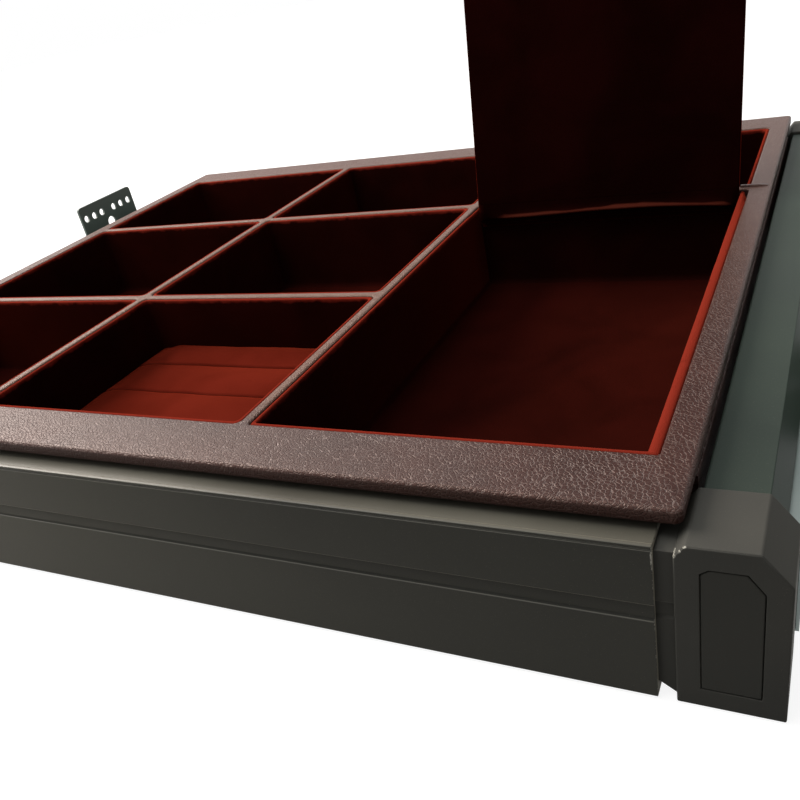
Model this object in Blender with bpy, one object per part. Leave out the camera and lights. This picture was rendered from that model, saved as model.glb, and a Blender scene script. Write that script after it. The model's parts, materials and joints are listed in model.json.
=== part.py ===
"""A pull-out jewellery drawer for a wardrobe.

A metal frame of four extruded rails and four cast corner blocks carries a leather-covered tray
with eight velvet-lined compartments. The largest one has a lid on a leather fold, which stands
open. The frame runs out on a three-member ball slide at each side, and perforated plates fix the
slides to the side panels of the wardrobe.

Lengths are in metres. The sizes below are measured from the middle of the drawer in X, from the
front rail's face in Y and from the rails' underside in Z. An empty moves it all, so that the
origin ends up under the middle of the whole thing.
"""
import math

import bmesh
import bpy
from mathutils import Vector

# Clearances
SEAT_GAP = 0.0003
SCREW_GAP = 0.0003
BALL_GAP = 0.00012
CUT_OVERRUN = 0.002

# Frame
FRAME_DEPTH = 0.4995
RAIL_END_GAP = 0.0060
RAIL_HEIGHT = 0.0655
RAIL_DEPTH = 0.0240
RAIL_WALL = 0.0023
RAIL_FLOOR = 0.0047
BAND_LOW = 0.0346
BAND_HIGH = 0.0417
BAND_DEPTH = 0.0008
BEAD_WIDTH = 0.0016
BEAD_HEIGHT = 0.0005

# Corner blocks
BLOCK_INNER_STEP = 0.0043
BLOCK_OUTER_STEP = 0.0039
BLOCK_SETBACK = 0.00026
BLOCK_DEPTH = 0.03084
BLOCK_DROP = 0.00065
BLOCK_TOP_STEP = 0.00145
BLOCK_EDGE = 0.0004
INNER_CHAMFER_WIDTH = 0.0034
INNER_CHAMFER_FALL = 0.0043
OUTER_CHAMFER_WIDTH = 0.0089
OUTER_CHAMFER_FALL = 0.0111
NECK_RISE = 0.0009
SPIGOT_LENGTH = 0.0250

# Cover in the outer face of a block
COVER_LEFT_INSET = 0.0078
COVER_RIGHT_INSET = 0.0076
COVER_BOTTOM = 0.0077
COVER_SHOULDER = 0.0518
COVER_TOP = 0.0586
COVER_SLANT_WIDTH = 0.0051
COVER_NICK_WIDTH = 0.0027
COVER_NICK_FALL = 0.0020
COVER_THICKNESS = 0.0022
COVER_SINK = 0.0002
COVER_EDGE = 0.0003

# Side rails
SIDE_SPACE = 0.0024
SIDE_WIDTH = 0.0254
SIDE_BOTTOM = 0.0020
SIDE_TOP_STEP = 0.0005
SIDE_INNER_CHAMFER = 0.0006
SIDE_CHAMFER_WIDTH = 0.0053
SIDE_CHAMFER_FALL = 0.0066
SIDE_WALL = 0.0020
SIDE_FLOOR = 0.0030
CHANNEL_DEPTH = 0.0078

# Ball slides
SLIDE_CENTRE = 0.0310
SLIDE_HEIGHT = 0.0450
SLIDE_THICKNESS = 0.0127
SLIDE_SETBACK = 0.0330
SLIDE_REAR_SPACE = 0.0165
INNER_SLIDE_SHORTER = 0.0160
MIDDLE_SLIDE_SHORTER = 0.0040
MEMBER_SHEET = 0.0012
MEMBER_WEB_GAP = 0.0012
OUTER_LIP_REACH = 0.0097
INNER_LIP_REACH = 0.0074
CHANNEL_CLEARANCE = 0.0015
BALL_DIAMETER = 0.0032
CAGE_WEB = 0.0006
CAGE_FLANGE = 0.0008
CAGE_OVERHANG = 0.0300
BALLS_IN_ROW = 4
BALL_ROW_SETBACK = 0.0600
BALL_ROW_REAR_SPACE = 0.0660

# Mounting plates
PLATE_THICKNESS = 0.0020
PLATE_LENGTH = 0.0702
PLATE_TOP = 0.0880
PLATE_CORNER_RADIUS = 0.0030
REAR_PLATE_SETBACK = 0.1208
FRONT_PLATE_SETBACK = 0.1227
PLATE_HOLE_RADIUS = 0.0030
PLATE_HOLE_INSET = 0.0111
PLATE_HOLE_OFFSETS = (0.0082, 0.0182, 0.0284)
PLATE_WINDOW_RADIUS = 0.0050
PLATE_WINDOW_INSET = 0.0230
STUD_OFFSET = 0.0200
STUD_RADIUS = 0.0022

# Screws
SLIDE_SCREW_RADIUS = 0.0019
SLIDE_SCREW_HEAD_RADIUS = 0.0035
SLIDE_SCREW_HEAD_HEIGHT = 0.0016
SLIDE_SCREW_SETBACK = 0.0700
SLIDE_SCREW_REAR_SPACE = 0.0760
CORNER_SCREW_RADIUS = 0.0021
CORNER_SCREW_HEAD_RADIUS = 0.0040
CORNER_SCREW_HEAD_HEIGHT = 0.0018
CORNER_SCREW_SINK = 0.0002
CORNER_SCREW_BITE = 0.0090
CORNER_SCREW_SETBACK = 0.0120

# Tray
RIM_THICKNESS = 0.0082
TRAY_BOTTOM = 0.0090
TRAY_INNER_HALF_WIDTH = 0.2597
TRAY_SIDE_WALL = 0.0120
TRAY_FRONT = 0.0384
TRAY_FRONT_WALL = 0.0120
RIM_FRONT = 0.0086
RIM_ROUNDING = 0.0034
EDGE_ROUNDING = 0.0010
BASE_THICKNESS = 0.0077
DIVIDER_THICKNESS = 0.0052
DIVIDER_ROUNDING = 0.0016
LONG_DIVIDER_SHARE = 0.33616
FRONT_DIVIDER_SHARE = 0.32576
REAR_DIVIDER_SHARE = 0.67660

# Liners, pad and batten
LINER_WALL = 0.0020
LINER_WIDE_WALL = 0.0040
LINER_SINK = 0.0004
LINER_FLOOR_TOP = 0.0194
LINER_FLOOR = 0.0024
LINER_LOW_WALL_FALL = 0.0063
PAD_TOP = 0.0437
PAD_SEAM_SHARES = (0.29023, 0.54350, 0.79677)
PAD_SEAM_DEPTH = 0.0016
PAD_CROWN = 0.0008
PAD_DRAWN_IN = 0.0012
PAD_EDGE_FALL = 0.0030
PAD_STEPS_IN_BAND = 8
PAD_STEPS_ACROSS = 12
BATTEN_WIDTH = 0.0045
BATTEN_HEIGHT = 0.0060
BATTEN_END_SPACE = 0.0040

# Lid
LID_END_SPACE = 0.0006
LID_LEAN_DEG = 11.0
LID_BOARD = 0.0035
LID_PANEL = 0.0014
LID_PANEL_INSET = 0.0012
LID_SIDE_SPACE = 0.0006
LID_EDGE = 0.0008
FOLD_RADIUS = 0.0010
FOLD_DROP = 0.0003

# Leather lap across the right rim
LAP_OFFSET = 0.0004
LAP_WIDTH = 0.0090
LAP_THICKNESS = 0.0008
LAP_OUTER_SPACE = 0.0004
LAP_EDGE = 0.0003

# How finely round shapes are drawn
HOLE_SEGMENTS = 20
SCREW_SEGMENTS = 12
BALL_SEGMENTS = 8
BALL_RINGS = 5
FOLD_SEGMENTS = 16
ROUNDING_SEGMENTS = 3
SMOOTH_BELOW_DEG = 35.0
PAD_END_POWER = 4
CORNER_SEGMENTS = 4

# Finishes: colour, roughness and metallic value
FINISHES = {
    "frame_paint": ((0.042, 0.037, 0.031), 0.42, 0.75),
    "plate_paint": ((0.055, 0.073, 0.063), 0.50, 0.60),
    "zinc_steel": ((0.50, 0.51, 0.52), 0.35, 1.00),
    "screw_steel": ((0.30, 0.30, 0.31), 0.35, 1.00),
    "cover_plastic": ((0.040, 0.036, 0.031), 0.50, 0.00),
    "leather": ((0.100, 0.052, 0.048), 0.45, 0.00),
    "velvet": ((0.160, 0.012, 0.008), 0.95, 0.00),
    "board": ((0.420, 0.300, 0.190), 0.75, 0.00),
}


def clear_scene():
    for item in list(bpy.data.objects):
        bpy.data.objects.remove(item, do_unlink=True)


def finish(name):
    """The Principled material of one finish."""
    material = bpy.data.materials.get(name)
    if material is None:
        colour, roughness, metallic = FINISHES[name]
        material = bpy.data.materials.new(name)
        material.use_nodes = True
        shader = material.node_tree.nodes["Principled BSDF"]
        shader.inputs["Base Color"].default_value = (*colour, 1.0)
        shader.inputs["Roughness"].default_value = roughness
        shader.inputs["Metallic"].default_value = metallic
    return material


def empty(name, place, parent=None, tilt=0.0):
    point = bpy.data.objects.new(name, None)
    bpy.context.collection.objects.link(point)
    point.location = place
    point.rotation_euler.x = tilt
    point.parent = parent
    return point


def add_object(name, mesh, finish_name, parent):
    """A named piece that carries the given finish."""
    piece = bpy.data.objects.new(name, mesh)
    bpy.context.collection.objects.link(piece)
    piece.parent = parent
    mesh.materials.append(finish(finish_name))
    return piece


def place_point(axis, along, u, v):
    """A point at u, v of an outline and at a distance along the axis it is drawn out on."""
    if axis == "X":
        return Vector((along, u, v))
    if axis == "Y":
        return Vector((u, along, v))
    return Vector((u, v, along))


def prism_mesh(name, outline, axis, start, end):
    """An outline drawn out along an axis, closed at both ends."""
    shape = bmesh.new()
    near = [shape.verts.new(place_point(axis, start, u, v)) for u, v in outline]
    far = [shape.verts.new(place_point(axis, end, u, v)) for u, v in outline]
    shape.faces.new(near)
    shape.faces.new(far)
    for index in range(len(outline)):
        after = (index + 1) % len(outline)
        shape.faces.new((near[index], near[after], far[after], far[index]))
    bmesh.ops.recalc_face_normals(shape, faces=shape.faces)
    mesh = bpy.data.meshes.new(name)
    shape.to_mesh(mesh)
    shape.free()
    return mesh


def prism(name, outline, axis, start, end, finish_name, parent):
    return add_object(name, prism_mesh(name, outline, axis, start, end), finish_name, parent)


def box_outline(low_u, low_v, high_u, high_v):
    return [(low_u, low_v), (high_u, low_v), (high_u, high_v), (low_u, high_v)]


def box(name, low, high, finish_name, parent):
    outline = box_outline(low[0], low[1], high[0], high[1])
    return prism(name, outline, "Z", low[2], high[2], finish_name, parent)


def as_tool(tool):
    """Marks a cutter or a joined shape as a tool and not a piece."""
    tool.hide_render = True
    tool.display_type = "WIRE"
    return tool


def combine(piece, tool, operation):
    step = piece.modifiers.new(operation.lower(), "BOOLEAN")
    step.operation = operation
    step.object = as_tool(tool)
    step.solver = "EXACT"


def cut(piece, tool):
    combine(piece, tool, "DIFFERENCE")


def join(piece, tool):
    combine(piece, tool, "UNION")


def round_edges(piece, width, segments=1, angle_deg=30.0):
    step = piece.modifiers.new("rounding", "BEVEL")
    step.width = width
    step.segments = segments
    step.limit_method = "ANGLE"
    step.angle_limit = math.radians(angle_deg)
    return step


def turned_mesh(name, axis, centre, profile, segments):
    """A solid of revolution. The profile is (distance along the axis, radius), end to end."""
    shape = bmesh.new()
    rings = []
    for along, radius in profile:
        ring = []
        for step in range(segments):
            turn = math.tau * step / segments
            across = (radius * math.cos(turn), radius * math.sin(turn))
            ring.append(shape.verts.new(centre + place_point(axis, along, *across)))
        rings.append(ring)
    for first, second in zip(rings, rings[1:]):
        for step in range(segments):
            after = (step + 1) % segments
            shape.faces.new((first[step], first[after], second[after], second[step]))
    shape.faces.new(rings[0])
    shape.faces.new(rings[-1])
    bmesh.ops.recalc_face_normals(shape, faces=shape.faces)
    mesh = bpy.data.meshes.new(name)
    shape.to_mesh(mesh)
    shape.free()
    return mesh


def joined_mesh(name, meshes):
    """One mesh that holds several separate solids."""
    shape = bmesh.new()
    for mesh in meshes:
        shape.from_mesh(mesh)
        bpy.data.meshes.remove(mesh)
    mesh = bpy.data.meshes.new(name)
    shape.to_mesh(mesh)
    shape.free()
    return mesh


def smooth(mesh):
    """Shades a turned mesh round, with its corners sharp."""
    mesh.shade_smooth()
    mesh.set_sharp_from_angle(angle=math.radians(SMOOTH_BELOW_DEG))
    return mesh


def cutter(name, meshes, parent):
    return as_tool(add_object(name, joined_mesh(name, meshes), "screw_steel", parent))


def rounded_outline(low_u, low_v, high_u, high_v, radius):
    """A rectangle with round corners."""
    outline = []
    corners = (
        (high_u - radius, low_v + radius, -math.pi / 2),
        (high_u - radius, high_v - radius, 0),
        (low_u + radius, high_v - radius, math.pi / 2),
        (low_u + radius, low_v + radius, math.pi),
    )
    for centre_u, centre_v, start in corners:
        for step in range(CORNER_SEGMENTS + 1):
            turn = start + math.pi / 2 * step / CORNER_SEGMENTS
            outline.append((centre_u + radius * math.cos(turn), centre_v + radius * math.sin(turn)))
    return outline


def from_end(distance, rear):
    """A distance in from the front face, or from the rear face."""
    return FRAME_DEPTH - distance if rear else distance


# Places that several pieces share
BLOCK_TOP = RAIL_HEIGHT + BLOCK_TOP_STEP
SIDE_TOP = RAIL_HEIGHT - SIDE_TOP_STEP
RIM_UNDERSIDE = RAIL_HEIGHT - BEAD_HEIGHT + SEAT_GAP
TRAY_TOP = RIM_UNDERSIDE + RIM_THICKNESS
LINER_TOP = TRAY_TOP - LINER_SINK
LINER_LOW_WALL_TOP = TRAY_TOP - LINER_LOW_WALL_FALL
PLATE_HOLE_HEIGHT = PLATE_TOP - PLATE_HOLE_INSET
PLATE_WINDOW_HEIGHT = PLATE_TOP - PLATE_WINDOW_INSET
TRAY_OUTER_HALF_WIDTH = TRAY_INNER_HALF_WIDTH + TRAY_SIDE_WALL
TRAY_REAR = FRAME_DEPTH - TRAY_FRONT
TRAY_LENGTH = TRAY_REAR - TRAY_FRONT
LONG_DIVIDER_PLACE = TRAY_INNER_HALF_WIDTH * LONG_DIVIDER_SHARE
FRONT_DIVIDER_PLACE = TRAY_FRONT + TRAY_LENGTH * FRONT_DIVIDER_SHARE
REAR_DIVIDER_PLACE = TRAY_FRONT + TRAY_LENGTH * REAR_DIVIDER_SHARE
SIDE_INNER = TRAY_OUTER_HALF_WIDTH + SIDE_SPACE
SIDE_OUTER = SIDE_INNER + SIDE_WIDTH
CHANNEL_FLOOR = SIDE_OUTER - CHANNEL_DEPTH
BLOCK_INNER = SIDE_INNER - BLOCK_INNER_STEP
BLOCK_OUTER = SIDE_OUTER + BLOCK_OUTER_STEP
RAIL_HALF_LENGTH = BLOCK_INNER - RAIL_END_GAP
SLIDE_LENGTH = FRAME_DEPTH - SLIDE_SETBACK - SLIDE_REAR_SPACE
INNER_SLIDE_LENGTH = SLIDE_LENGTH - INNER_SLIDE_SHORTER
MIDDLE_SLIDE_LENGTH = SLIDE_LENGTH - MIDDLE_SLIDE_SHORTER
BALL_ROW_LENGTH = MIDDLE_SLIDE_LENGTH - BALL_ROW_SETBACK - BALL_ROW_REAR_SPACE
SPIGOT_BOTTOM = RAIL_FLOOR + SEAT_GAP
SPIGOT_TOP = RAIL_HEIGHT - BEAD_HEIGHT - RAIL_WALL - SEAT_GAP
SPIGOT_FRONT = RAIL_WALL + SEAT_GAP
SPIGOT_BACK = RAIL_DEPTH - RAIL_WALL - SEAT_GAP
BLOCK_BACK = BLOCK_SETBACK + BLOCK_DEPTH
SIDE_START = BLOCK_BACK + SEAT_GAP
SIDE_HOLLOW_OUTER = CHANNEL_FLOOR - SIDE_WALL
SLIDE_INNER_FACE = CHANNEL_FLOOR + SEAT_GAP
SLIDE_BACK = SLIDE_INNER_FACE + SLIDE_THICKNESS
CHANNEL_HALF_HEIGHT = SLIDE_HEIGHT / 2 + CHANNEL_CLEARANCE
PLATE_INNER = SLIDE_BACK + SEAT_GAP
PLATE_OUTER = PLATE_INNER + PLATE_THICKNESS
PLATE_BOTTOM = SLIDE_CENTRE - SLIDE_HEIGHT / 2
BASE_TOP = TRAY_BOTTOM + BASE_THICKNESS
LINER_BOTTOM = LINER_FLOOR_TOP - LINER_FLOOR
HALF_DIVIDER = DIVIDER_THICKNESS / 2
PIVOT_PLACE = REAR_DIVIDER_PLACE - HALF_DIVIDER - SEAT_GAP - FOLD_RADIUS
PIVOT_HEIGHT = TRAY_TOP - FOLD_DROP
LAP_FRONT = REAR_DIVIDER_PLACE - LAP_OFFSET
LID_SETBACK = FOLD_RADIUS + SEAT_GAP
LID_FRONT = TRAY_FRONT + SEAT_GAP + LINER_WALL + LID_END_SPACE
LID_LENGTH = PIVOT_PLACE - LID_SETBACK - LID_FRONT


def cross_rail(name, rear, parent):
    """Front or rear rail: a hollow section with a recessed band and a bead along the top."""
    top = RAIL_HEIGHT - BEAD_HEIGHT
    section = [
        (0, 0),
        (0, BAND_LOW),
        (BAND_DEPTH, BAND_LOW + BAND_DEPTH),
        (BAND_DEPTH, BAND_HIGH - BAND_DEPTH),
        (0, BAND_HIGH),
        (0, RAIL_HEIGHT),
        (BEAD_WIDTH, RAIL_HEIGHT),
        (BEAD_WIDTH + BEAD_HEIGHT, top),
        (RAIL_DEPTH, top),
        (RAIL_DEPTH, 0),
    ]
    outline = [(from_end(y, rear), z) for y, z in section]
    rail = prism(name, outline, "X", -RAIL_HALF_LENGTH, RAIL_HALF_LENGTH, "frame_paint", parent)
    hollow = box_outline(
        from_end(RAIL_WALL, rear), RAIL_FLOOR, from_end(RAIL_DEPTH - RAIL_WALL, rear), top - RAIL_WALL
    )
    reach = RAIL_HALF_LENGTH + CUT_OVERRUN
    cut(rail, prism(name + "_hollow", hollow, "X", -reach, reach, "frame_paint", parent))
    holes = [screw_hole(side, rear) for side in (-1, 1)]
    cut(rail, cutter(name + "_holes", holes, parent))
    return rail


def side_rail(name, side, parent):
    """Side rail: a hollow section with a channel for the slide, open outwards."""
    low = SLIDE_CENTRE - CHANNEL_HALF_HEIGHT
    high = SLIDE_CENTRE + CHANNEL_HALF_HEIGHT
    section = [
        (SIDE_INNER, SIDE_BOTTOM),
        (SIDE_INNER, SIDE_TOP - SIDE_INNER_CHAMFER),
        (SIDE_INNER + SIDE_INNER_CHAMFER, SIDE_TOP),
        (SIDE_OUTER - SIDE_CHAMFER_WIDTH, SIDE_TOP),
        (SIDE_OUTER, SIDE_TOP - SIDE_CHAMFER_FALL),
        (SIDE_OUTER, high),
        (CHANNEL_FLOOR, high),
        (CHANNEL_FLOOR, low),
        (SIDE_OUTER, low),
        (SIDE_OUTER, SIDE_BOTTOM),
    ]
    outline = [(side * x, z) for x, z in section]
    end = FRAME_DEPTH - SIDE_START
    rail = prism(name, outline, "Y", SIDE_START, end, "frame_paint", parent)
    hollow = box_outline(
        side * (SIDE_INNER + SIDE_WALL),
        SIDE_BOTTOM + SIDE_FLOOR,
        side * SIDE_HOLLOW_OUTER,
        SIDE_TOP - SIDE_WALL,
    )
    reach = (SIDE_START - CUT_OVERRUN, end + CUT_OVERRUN)
    cut(rail, prism(name + "_hollow", hollow, "Y", *reach, "frame_paint", parent))
    holes = []
    for y in slide_screw_places():
        centre = Vector((0, y, SLIDE_CENTRE))
        ends = (side * (SIDE_HOLLOW_OUTER - CUT_OVERRUN), side * (CHANNEL_FLOOR + CUT_OVERRUN))
        radius = SLIDE_SCREW_RADIUS + SCREW_GAP
        profile = [(ends[0], radius), (ends[1], radius)]
        holes.append(turned_mesh("hole", "X", centre, profile, SCREW_SEGMENTS))
    cut(rail, cutter(name + "_holes", holes, parent))
    return rail


def corner_screw_spot(side, rear):
    """Where a corner's screw stands, in the middle of the cross rail's depth."""
    return Vector((side * (RAIL_HALF_LENGTH - CORNER_SCREW_SETBACK), from_end(RAIL_DEPTH / 2, rear), 0))


def screw_hole(side, rear):
    """A stepped hole from below, for the head and the shank of a corner screw."""
    head = CORNER_SCREW_HEAD_RADIUS + SCREW_GAP
    shank = CORNER_SCREW_RADIUS + SCREW_GAP
    step = CORNER_SCREW_SINK + CORNER_SCREW_HEAD_HEIGHT + SCREW_GAP
    profile = [(-CUT_OVERRUN, head), (step, head), (step, shank), (RAIL_FLOOR + CUT_OVERRUN, shank)]
    return turned_mesh("hole", "Z", corner_screw_spot(side, rear), profile, SCREW_SEGMENTS)


def pilot_hole(side, rear):
    """The hole in a spigot that a corner screw bites into."""
    radius = CORNER_SCREW_RADIUS + SCREW_GAP
    top = SPIGOT_BOTTOM + CORNER_SCREW_BITE + SEAT_GAP
    profile = [(SPIGOT_BOTTOM - CUT_OVERRUN, radius), (top, radius)]
    return turned_mesh("hole", "Z", corner_screw_spot(side, rear), profile, SCREW_SEGMENTS)


def corner_screw_mesh():
    profile = [
        (CORNER_SCREW_SINK, CORNER_SCREW_HEAD_RADIUS),
        (CORNER_SCREW_SINK + CORNER_SCREW_HEAD_HEIGHT, CORNER_SCREW_HEAD_RADIUS),
        (CORNER_SCREW_SINK + CORNER_SCREW_HEAD_HEIGHT, CORNER_SCREW_RADIUS),
        (SPIGOT_BOTTOM + CORNER_SCREW_BITE, CORNER_SCREW_RADIUS),
    ]
    return smooth(turned_mesh("corner_screw", "Z", Vector((0, 0, 0)), profile, SCREW_SEGMENTS))


def cover_outline(side, gap):
    """The five-sided cover, or the pocket for it, which is wider by the gap all round."""
    left = BLOCK_INNER + COVER_LEFT_INSET - gap
    right = BLOCK_OUTER - COVER_RIGHT_INSET + gap
    top = COVER_TOP + gap
    points = [
        (left, COVER_BOTTOM - gap),
        (right, COVER_BOTTOM - gap),
        (right, COVER_SHOULDER + gap),
        (right - COVER_SLANT_WIDTH, top),
        (left + COVER_NICK_WIDTH, top),
        (left, top - COVER_NICK_FALL),
    ]
    return [(side * x, z) for x, z in points]


def corner_block(name, side, rear, parent):
    """A cast corner: chamfered block, neck and spigot for the cross rail, spigot for the side rail."""
    section = [
        (BLOCK_INNER, -BLOCK_DROP),
        (BLOCK_INNER, BLOCK_TOP - INNER_CHAMFER_FALL),
        (BLOCK_INNER + INNER_CHAMFER_WIDTH, BLOCK_TOP),
        (BLOCK_OUTER - OUTER_CHAMFER_WIDTH, BLOCK_TOP),
        (BLOCK_OUTER, BLOCK_TOP - OUTER_CHAMFER_FALL),
        (BLOCK_OUTER, -BLOCK_DROP),
    ]
    outline = [(side * x, z) for x, z in section]
    ends = (from_end(BLOCK_SETBACK, rear), from_end(BLOCK_BACK, rear))
    block = prism(name, outline, "Y", *ends, "frame_paint", parent)
    round_edges(block, BLOCK_EDGE)

    inside = BLOCK_INNER + CUT_OVERRUN
    neck_start = RAIL_HALF_LENGTH + SEAT_GAP
    neck_section = [
        (neck_start, SPIGOT_BOTTOM),
        (BLOCK_INNER, NECK_RISE),
        (inside, NECK_RISE),
        (inside, SPIGOT_TOP),
        (neck_start, SPIGOT_TOP),
    ]
    neck_outline = [(side * x, z) for x, z in neck_section]
    depth = (from_end(SPIGOT_FRONT, rear), from_end(SPIGOT_BACK, rear))
    join(block, prism(name + "_neck", neck_outline, "Y", *depth, "frame_paint", parent))

    spigot = box_outline(depth[0], SPIGOT_BOTTOM, depth[1], SPIGOT_TOP)
    reach = (side * (RAIL_HALF_LENGTH - SPIGOT_LENGTH), side * (neck_start + CUT_OVERRUN))
    join(block, prism(name + "_cross_spigot", spigot, "X", *reach, "frame_paint", parent))

    side_spigot = box_outline(
        side * (SIDE_INNER + SIDE_WALL + SEAT_GAP),
        SIDE_BOTTOM + SIDE_FLOOR + SEAT_GAP,
        side * (SIDE_HOLLOW_OUTER - SEAT_GAP),
        SIDE_TOP - SIDE_WALL - SEAT_GAP,
    )
    run = (from_end(BLOCK_BACK - CUT_OVERRUN, rear), from_end(SIDE_START + SPIGOT_LENGTH, rear))
    join(block, prism(name + "_side_spigot", side_spigot, "Y", *run, "frame_paint", parent))

    face = SPIGOT_FRONT
    band_section = [
        (face - CUT_OVERRUN, BAND_LOW - CUT_OVERRUN),
        (face + BAND_DEPTH, BAND_LOW + BAND_DEPTH),
        (face + BAND_DEPTH, BAND_HIGH - BAND_DEPTH),
        (face - CUT_OVERRUN, BAND_HIGH + CUT_OVERRUN),
    ]
    band = [(from_end(y, rear), z) for y, z in band_section]
    band_run = (side * (RAIL_HALF_LENGTH - SPIGOT_LENGTH - CUT_OVERRUN), side * BLOCK_INNER)
    cut(block, prism(name + "_band", band, "X", *band_run, "frame_paint", parent))

    if rear:
        slot = box_outline(
            side * CHANNEL_FLOOR,
            SLIDE_CENTRE - CHANNEL_HALF_HEIGHT,
            side * (BLOCK_OUTER + CUT_OVERRUN),
            SLIDE_CENTRE + CHANNEL_HALF_HEIGHT,
        )
        slot_run = (from_end(-CUT_OVERRUN, rear), from_end(BLOCK_BACK + CUT_OVERRUN, rear))
        cut(block, prism(name + "_slot", slot, "Y", *slot_run, "frame_paint", parent))
    else:
        pocket_floor = BLOCK_SETBACK + COVER_SINK + COVER_THICKNESS + SEAT_GAP
        pocket = (BLOCK_SETBACK - CUT_OVERRUN, pocket_floor)
        pocket_outline = cover_outline(side, SEAT_GAP)
        cut(block, prism(name + "_pocket", pocket_outline, "Y", *pocket, "frame_paint", parent))

    cut(block, cutter(name + "_hole", [pilot_hole(side, rear)], parent))
    return block


def corner_cover(name, side, parent):
    face = BLOCK_SETBACK + COVER_SINK
    ends = (face, face + COVER_THICKNESS)
    cover = prism(name, cover_outline(side, 0), "Y", *ends, "cover_plastic", parent)
    round_edges(cover, COVER_EDGE)
    return cover


def build_frame(parent):
    cross_rail("front_rail", False, parent)
    cross_rail("rear_rail", True, parent)
    side_rail("left_side_rail", -1, parent)
    side_rail("right_side_rail", 1, parent)
    screw = corner_screw_mesh()
    for side, side_name in ((-1, "left"), (1, "right")):
        for rear, end_name in ((False, "front"), (True, "rear")):
            name = f"{end_name}_{side_name}_corner"
            corner_block(name, side, rear, parent)
            fastener = add_object(name + "_screw", screw, "screw_steel", parent)
            fastener.location = corner_screw_spot(side, rear)
        corner_cover(f"front_{side_name}_corner_cover", side, parent)


def member_section(side, web, lip, half_height, towards_cabinet):
    """A channel of folded sheet: web at one distance from the drawer, lips reaching the other way.

    The distances run from the slide's inner face out to the cabinet.
    """
    sheet = MEMBER_SHEET
    inner = half_height - sheet
    web_far = web + sheet if towards_cabinet else web - sheet
    points = [
        (web, -half_height),
        (lip, -half_height),
        (lip, -inner),
        (web_far, -inner),
        (web_far, inner),
        (lip, inner),
        (lip, half_height),
        (web, half_height),
    ]
    return [(side * (SLIDE_INNER_FACE + x), SLIDE_CENTRE + z) for x, z in points]


def member_half_heights():
    """Half heights of the outer, middle and inner member, one ball and its races apart."""
    step = MEMBER_SHEET + BALL_DIAMETER + 2 * BALL_GAP
    outer = SLIDE_HEIGHT / 2
    return outer, outer - step, outer - 2 * step


def slide_screw_places():
    first = SLIDE_SETBACK + SLIDE_SCREW_SETBACK
    return (first, SLIDE_SETBACK + INNER_SLIDE_LENGTH - SLIDE_SCREW_REAR_SPACE)


def ball_mesh(centre):
    shape = bmesh.new()
    bmesh.ops.create_uvsphere(
        shape, u_segments=BALL_SEGMENTS, v_segments=BALL_RINGS, radius=BALL_DIAMETER / 2
    )
    bmesh.ops.translate(shape, verts=shape.verts, vec=centre)
    mesh = bpy.data.meshes.new("ball")
    shape.to_mesh(mesh)
    shape.free()
    return mesh


def ball_cage(name, side, web, race, parent):
    """A folded strip between two members, with a row of balls held in each of its flanges."""
    outer = race + CAGE_FLANGE / 2
    inner = race - CAGE_FLANGE / 2
    lip = SLIDE_THICKNESS - OUTER_LIP_REACH
    points = [
        (web, -outer),
        (lip, -outer),
        (lip, -inner),
        (web - CAGE_WEB, -inner),
        (web - CAGE_WEB, inner),
        (lip, inner),
        (lip, outer),
        (web, outer),
    ]
    section = [(side * (SLIDE_INNER_FACE + x), SLIDE_CENTRE + z) for x, z in points]
    first = SLIDE_SETBACK + BALL_ROW_SETBACK
    ends = (first - CAGE_OVERHANG, first + BALL_ROW_LENGTH + CAGE_OVERHANG)
    cage = prism(name, section, "Y", *ends, "zinc_steel", parent)
    step = BALL_ROW_LENGTH / (BALLS_IN_ROW - 1)
    across = side * (SLIDE_INNER_FACE + (lip + INNER_LIP_REACH) / 2)
    balls = []
    for index in range(BALLS_IN_ROW):
        for up in (-1, 1):
            place = Vector((across, first + step * index, SLIDE_CENTRE + up * race))
            balls.append(ball_mesh(place))
    join(cage, cutter(name + "_balls", balls, parent))
    return cage


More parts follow.
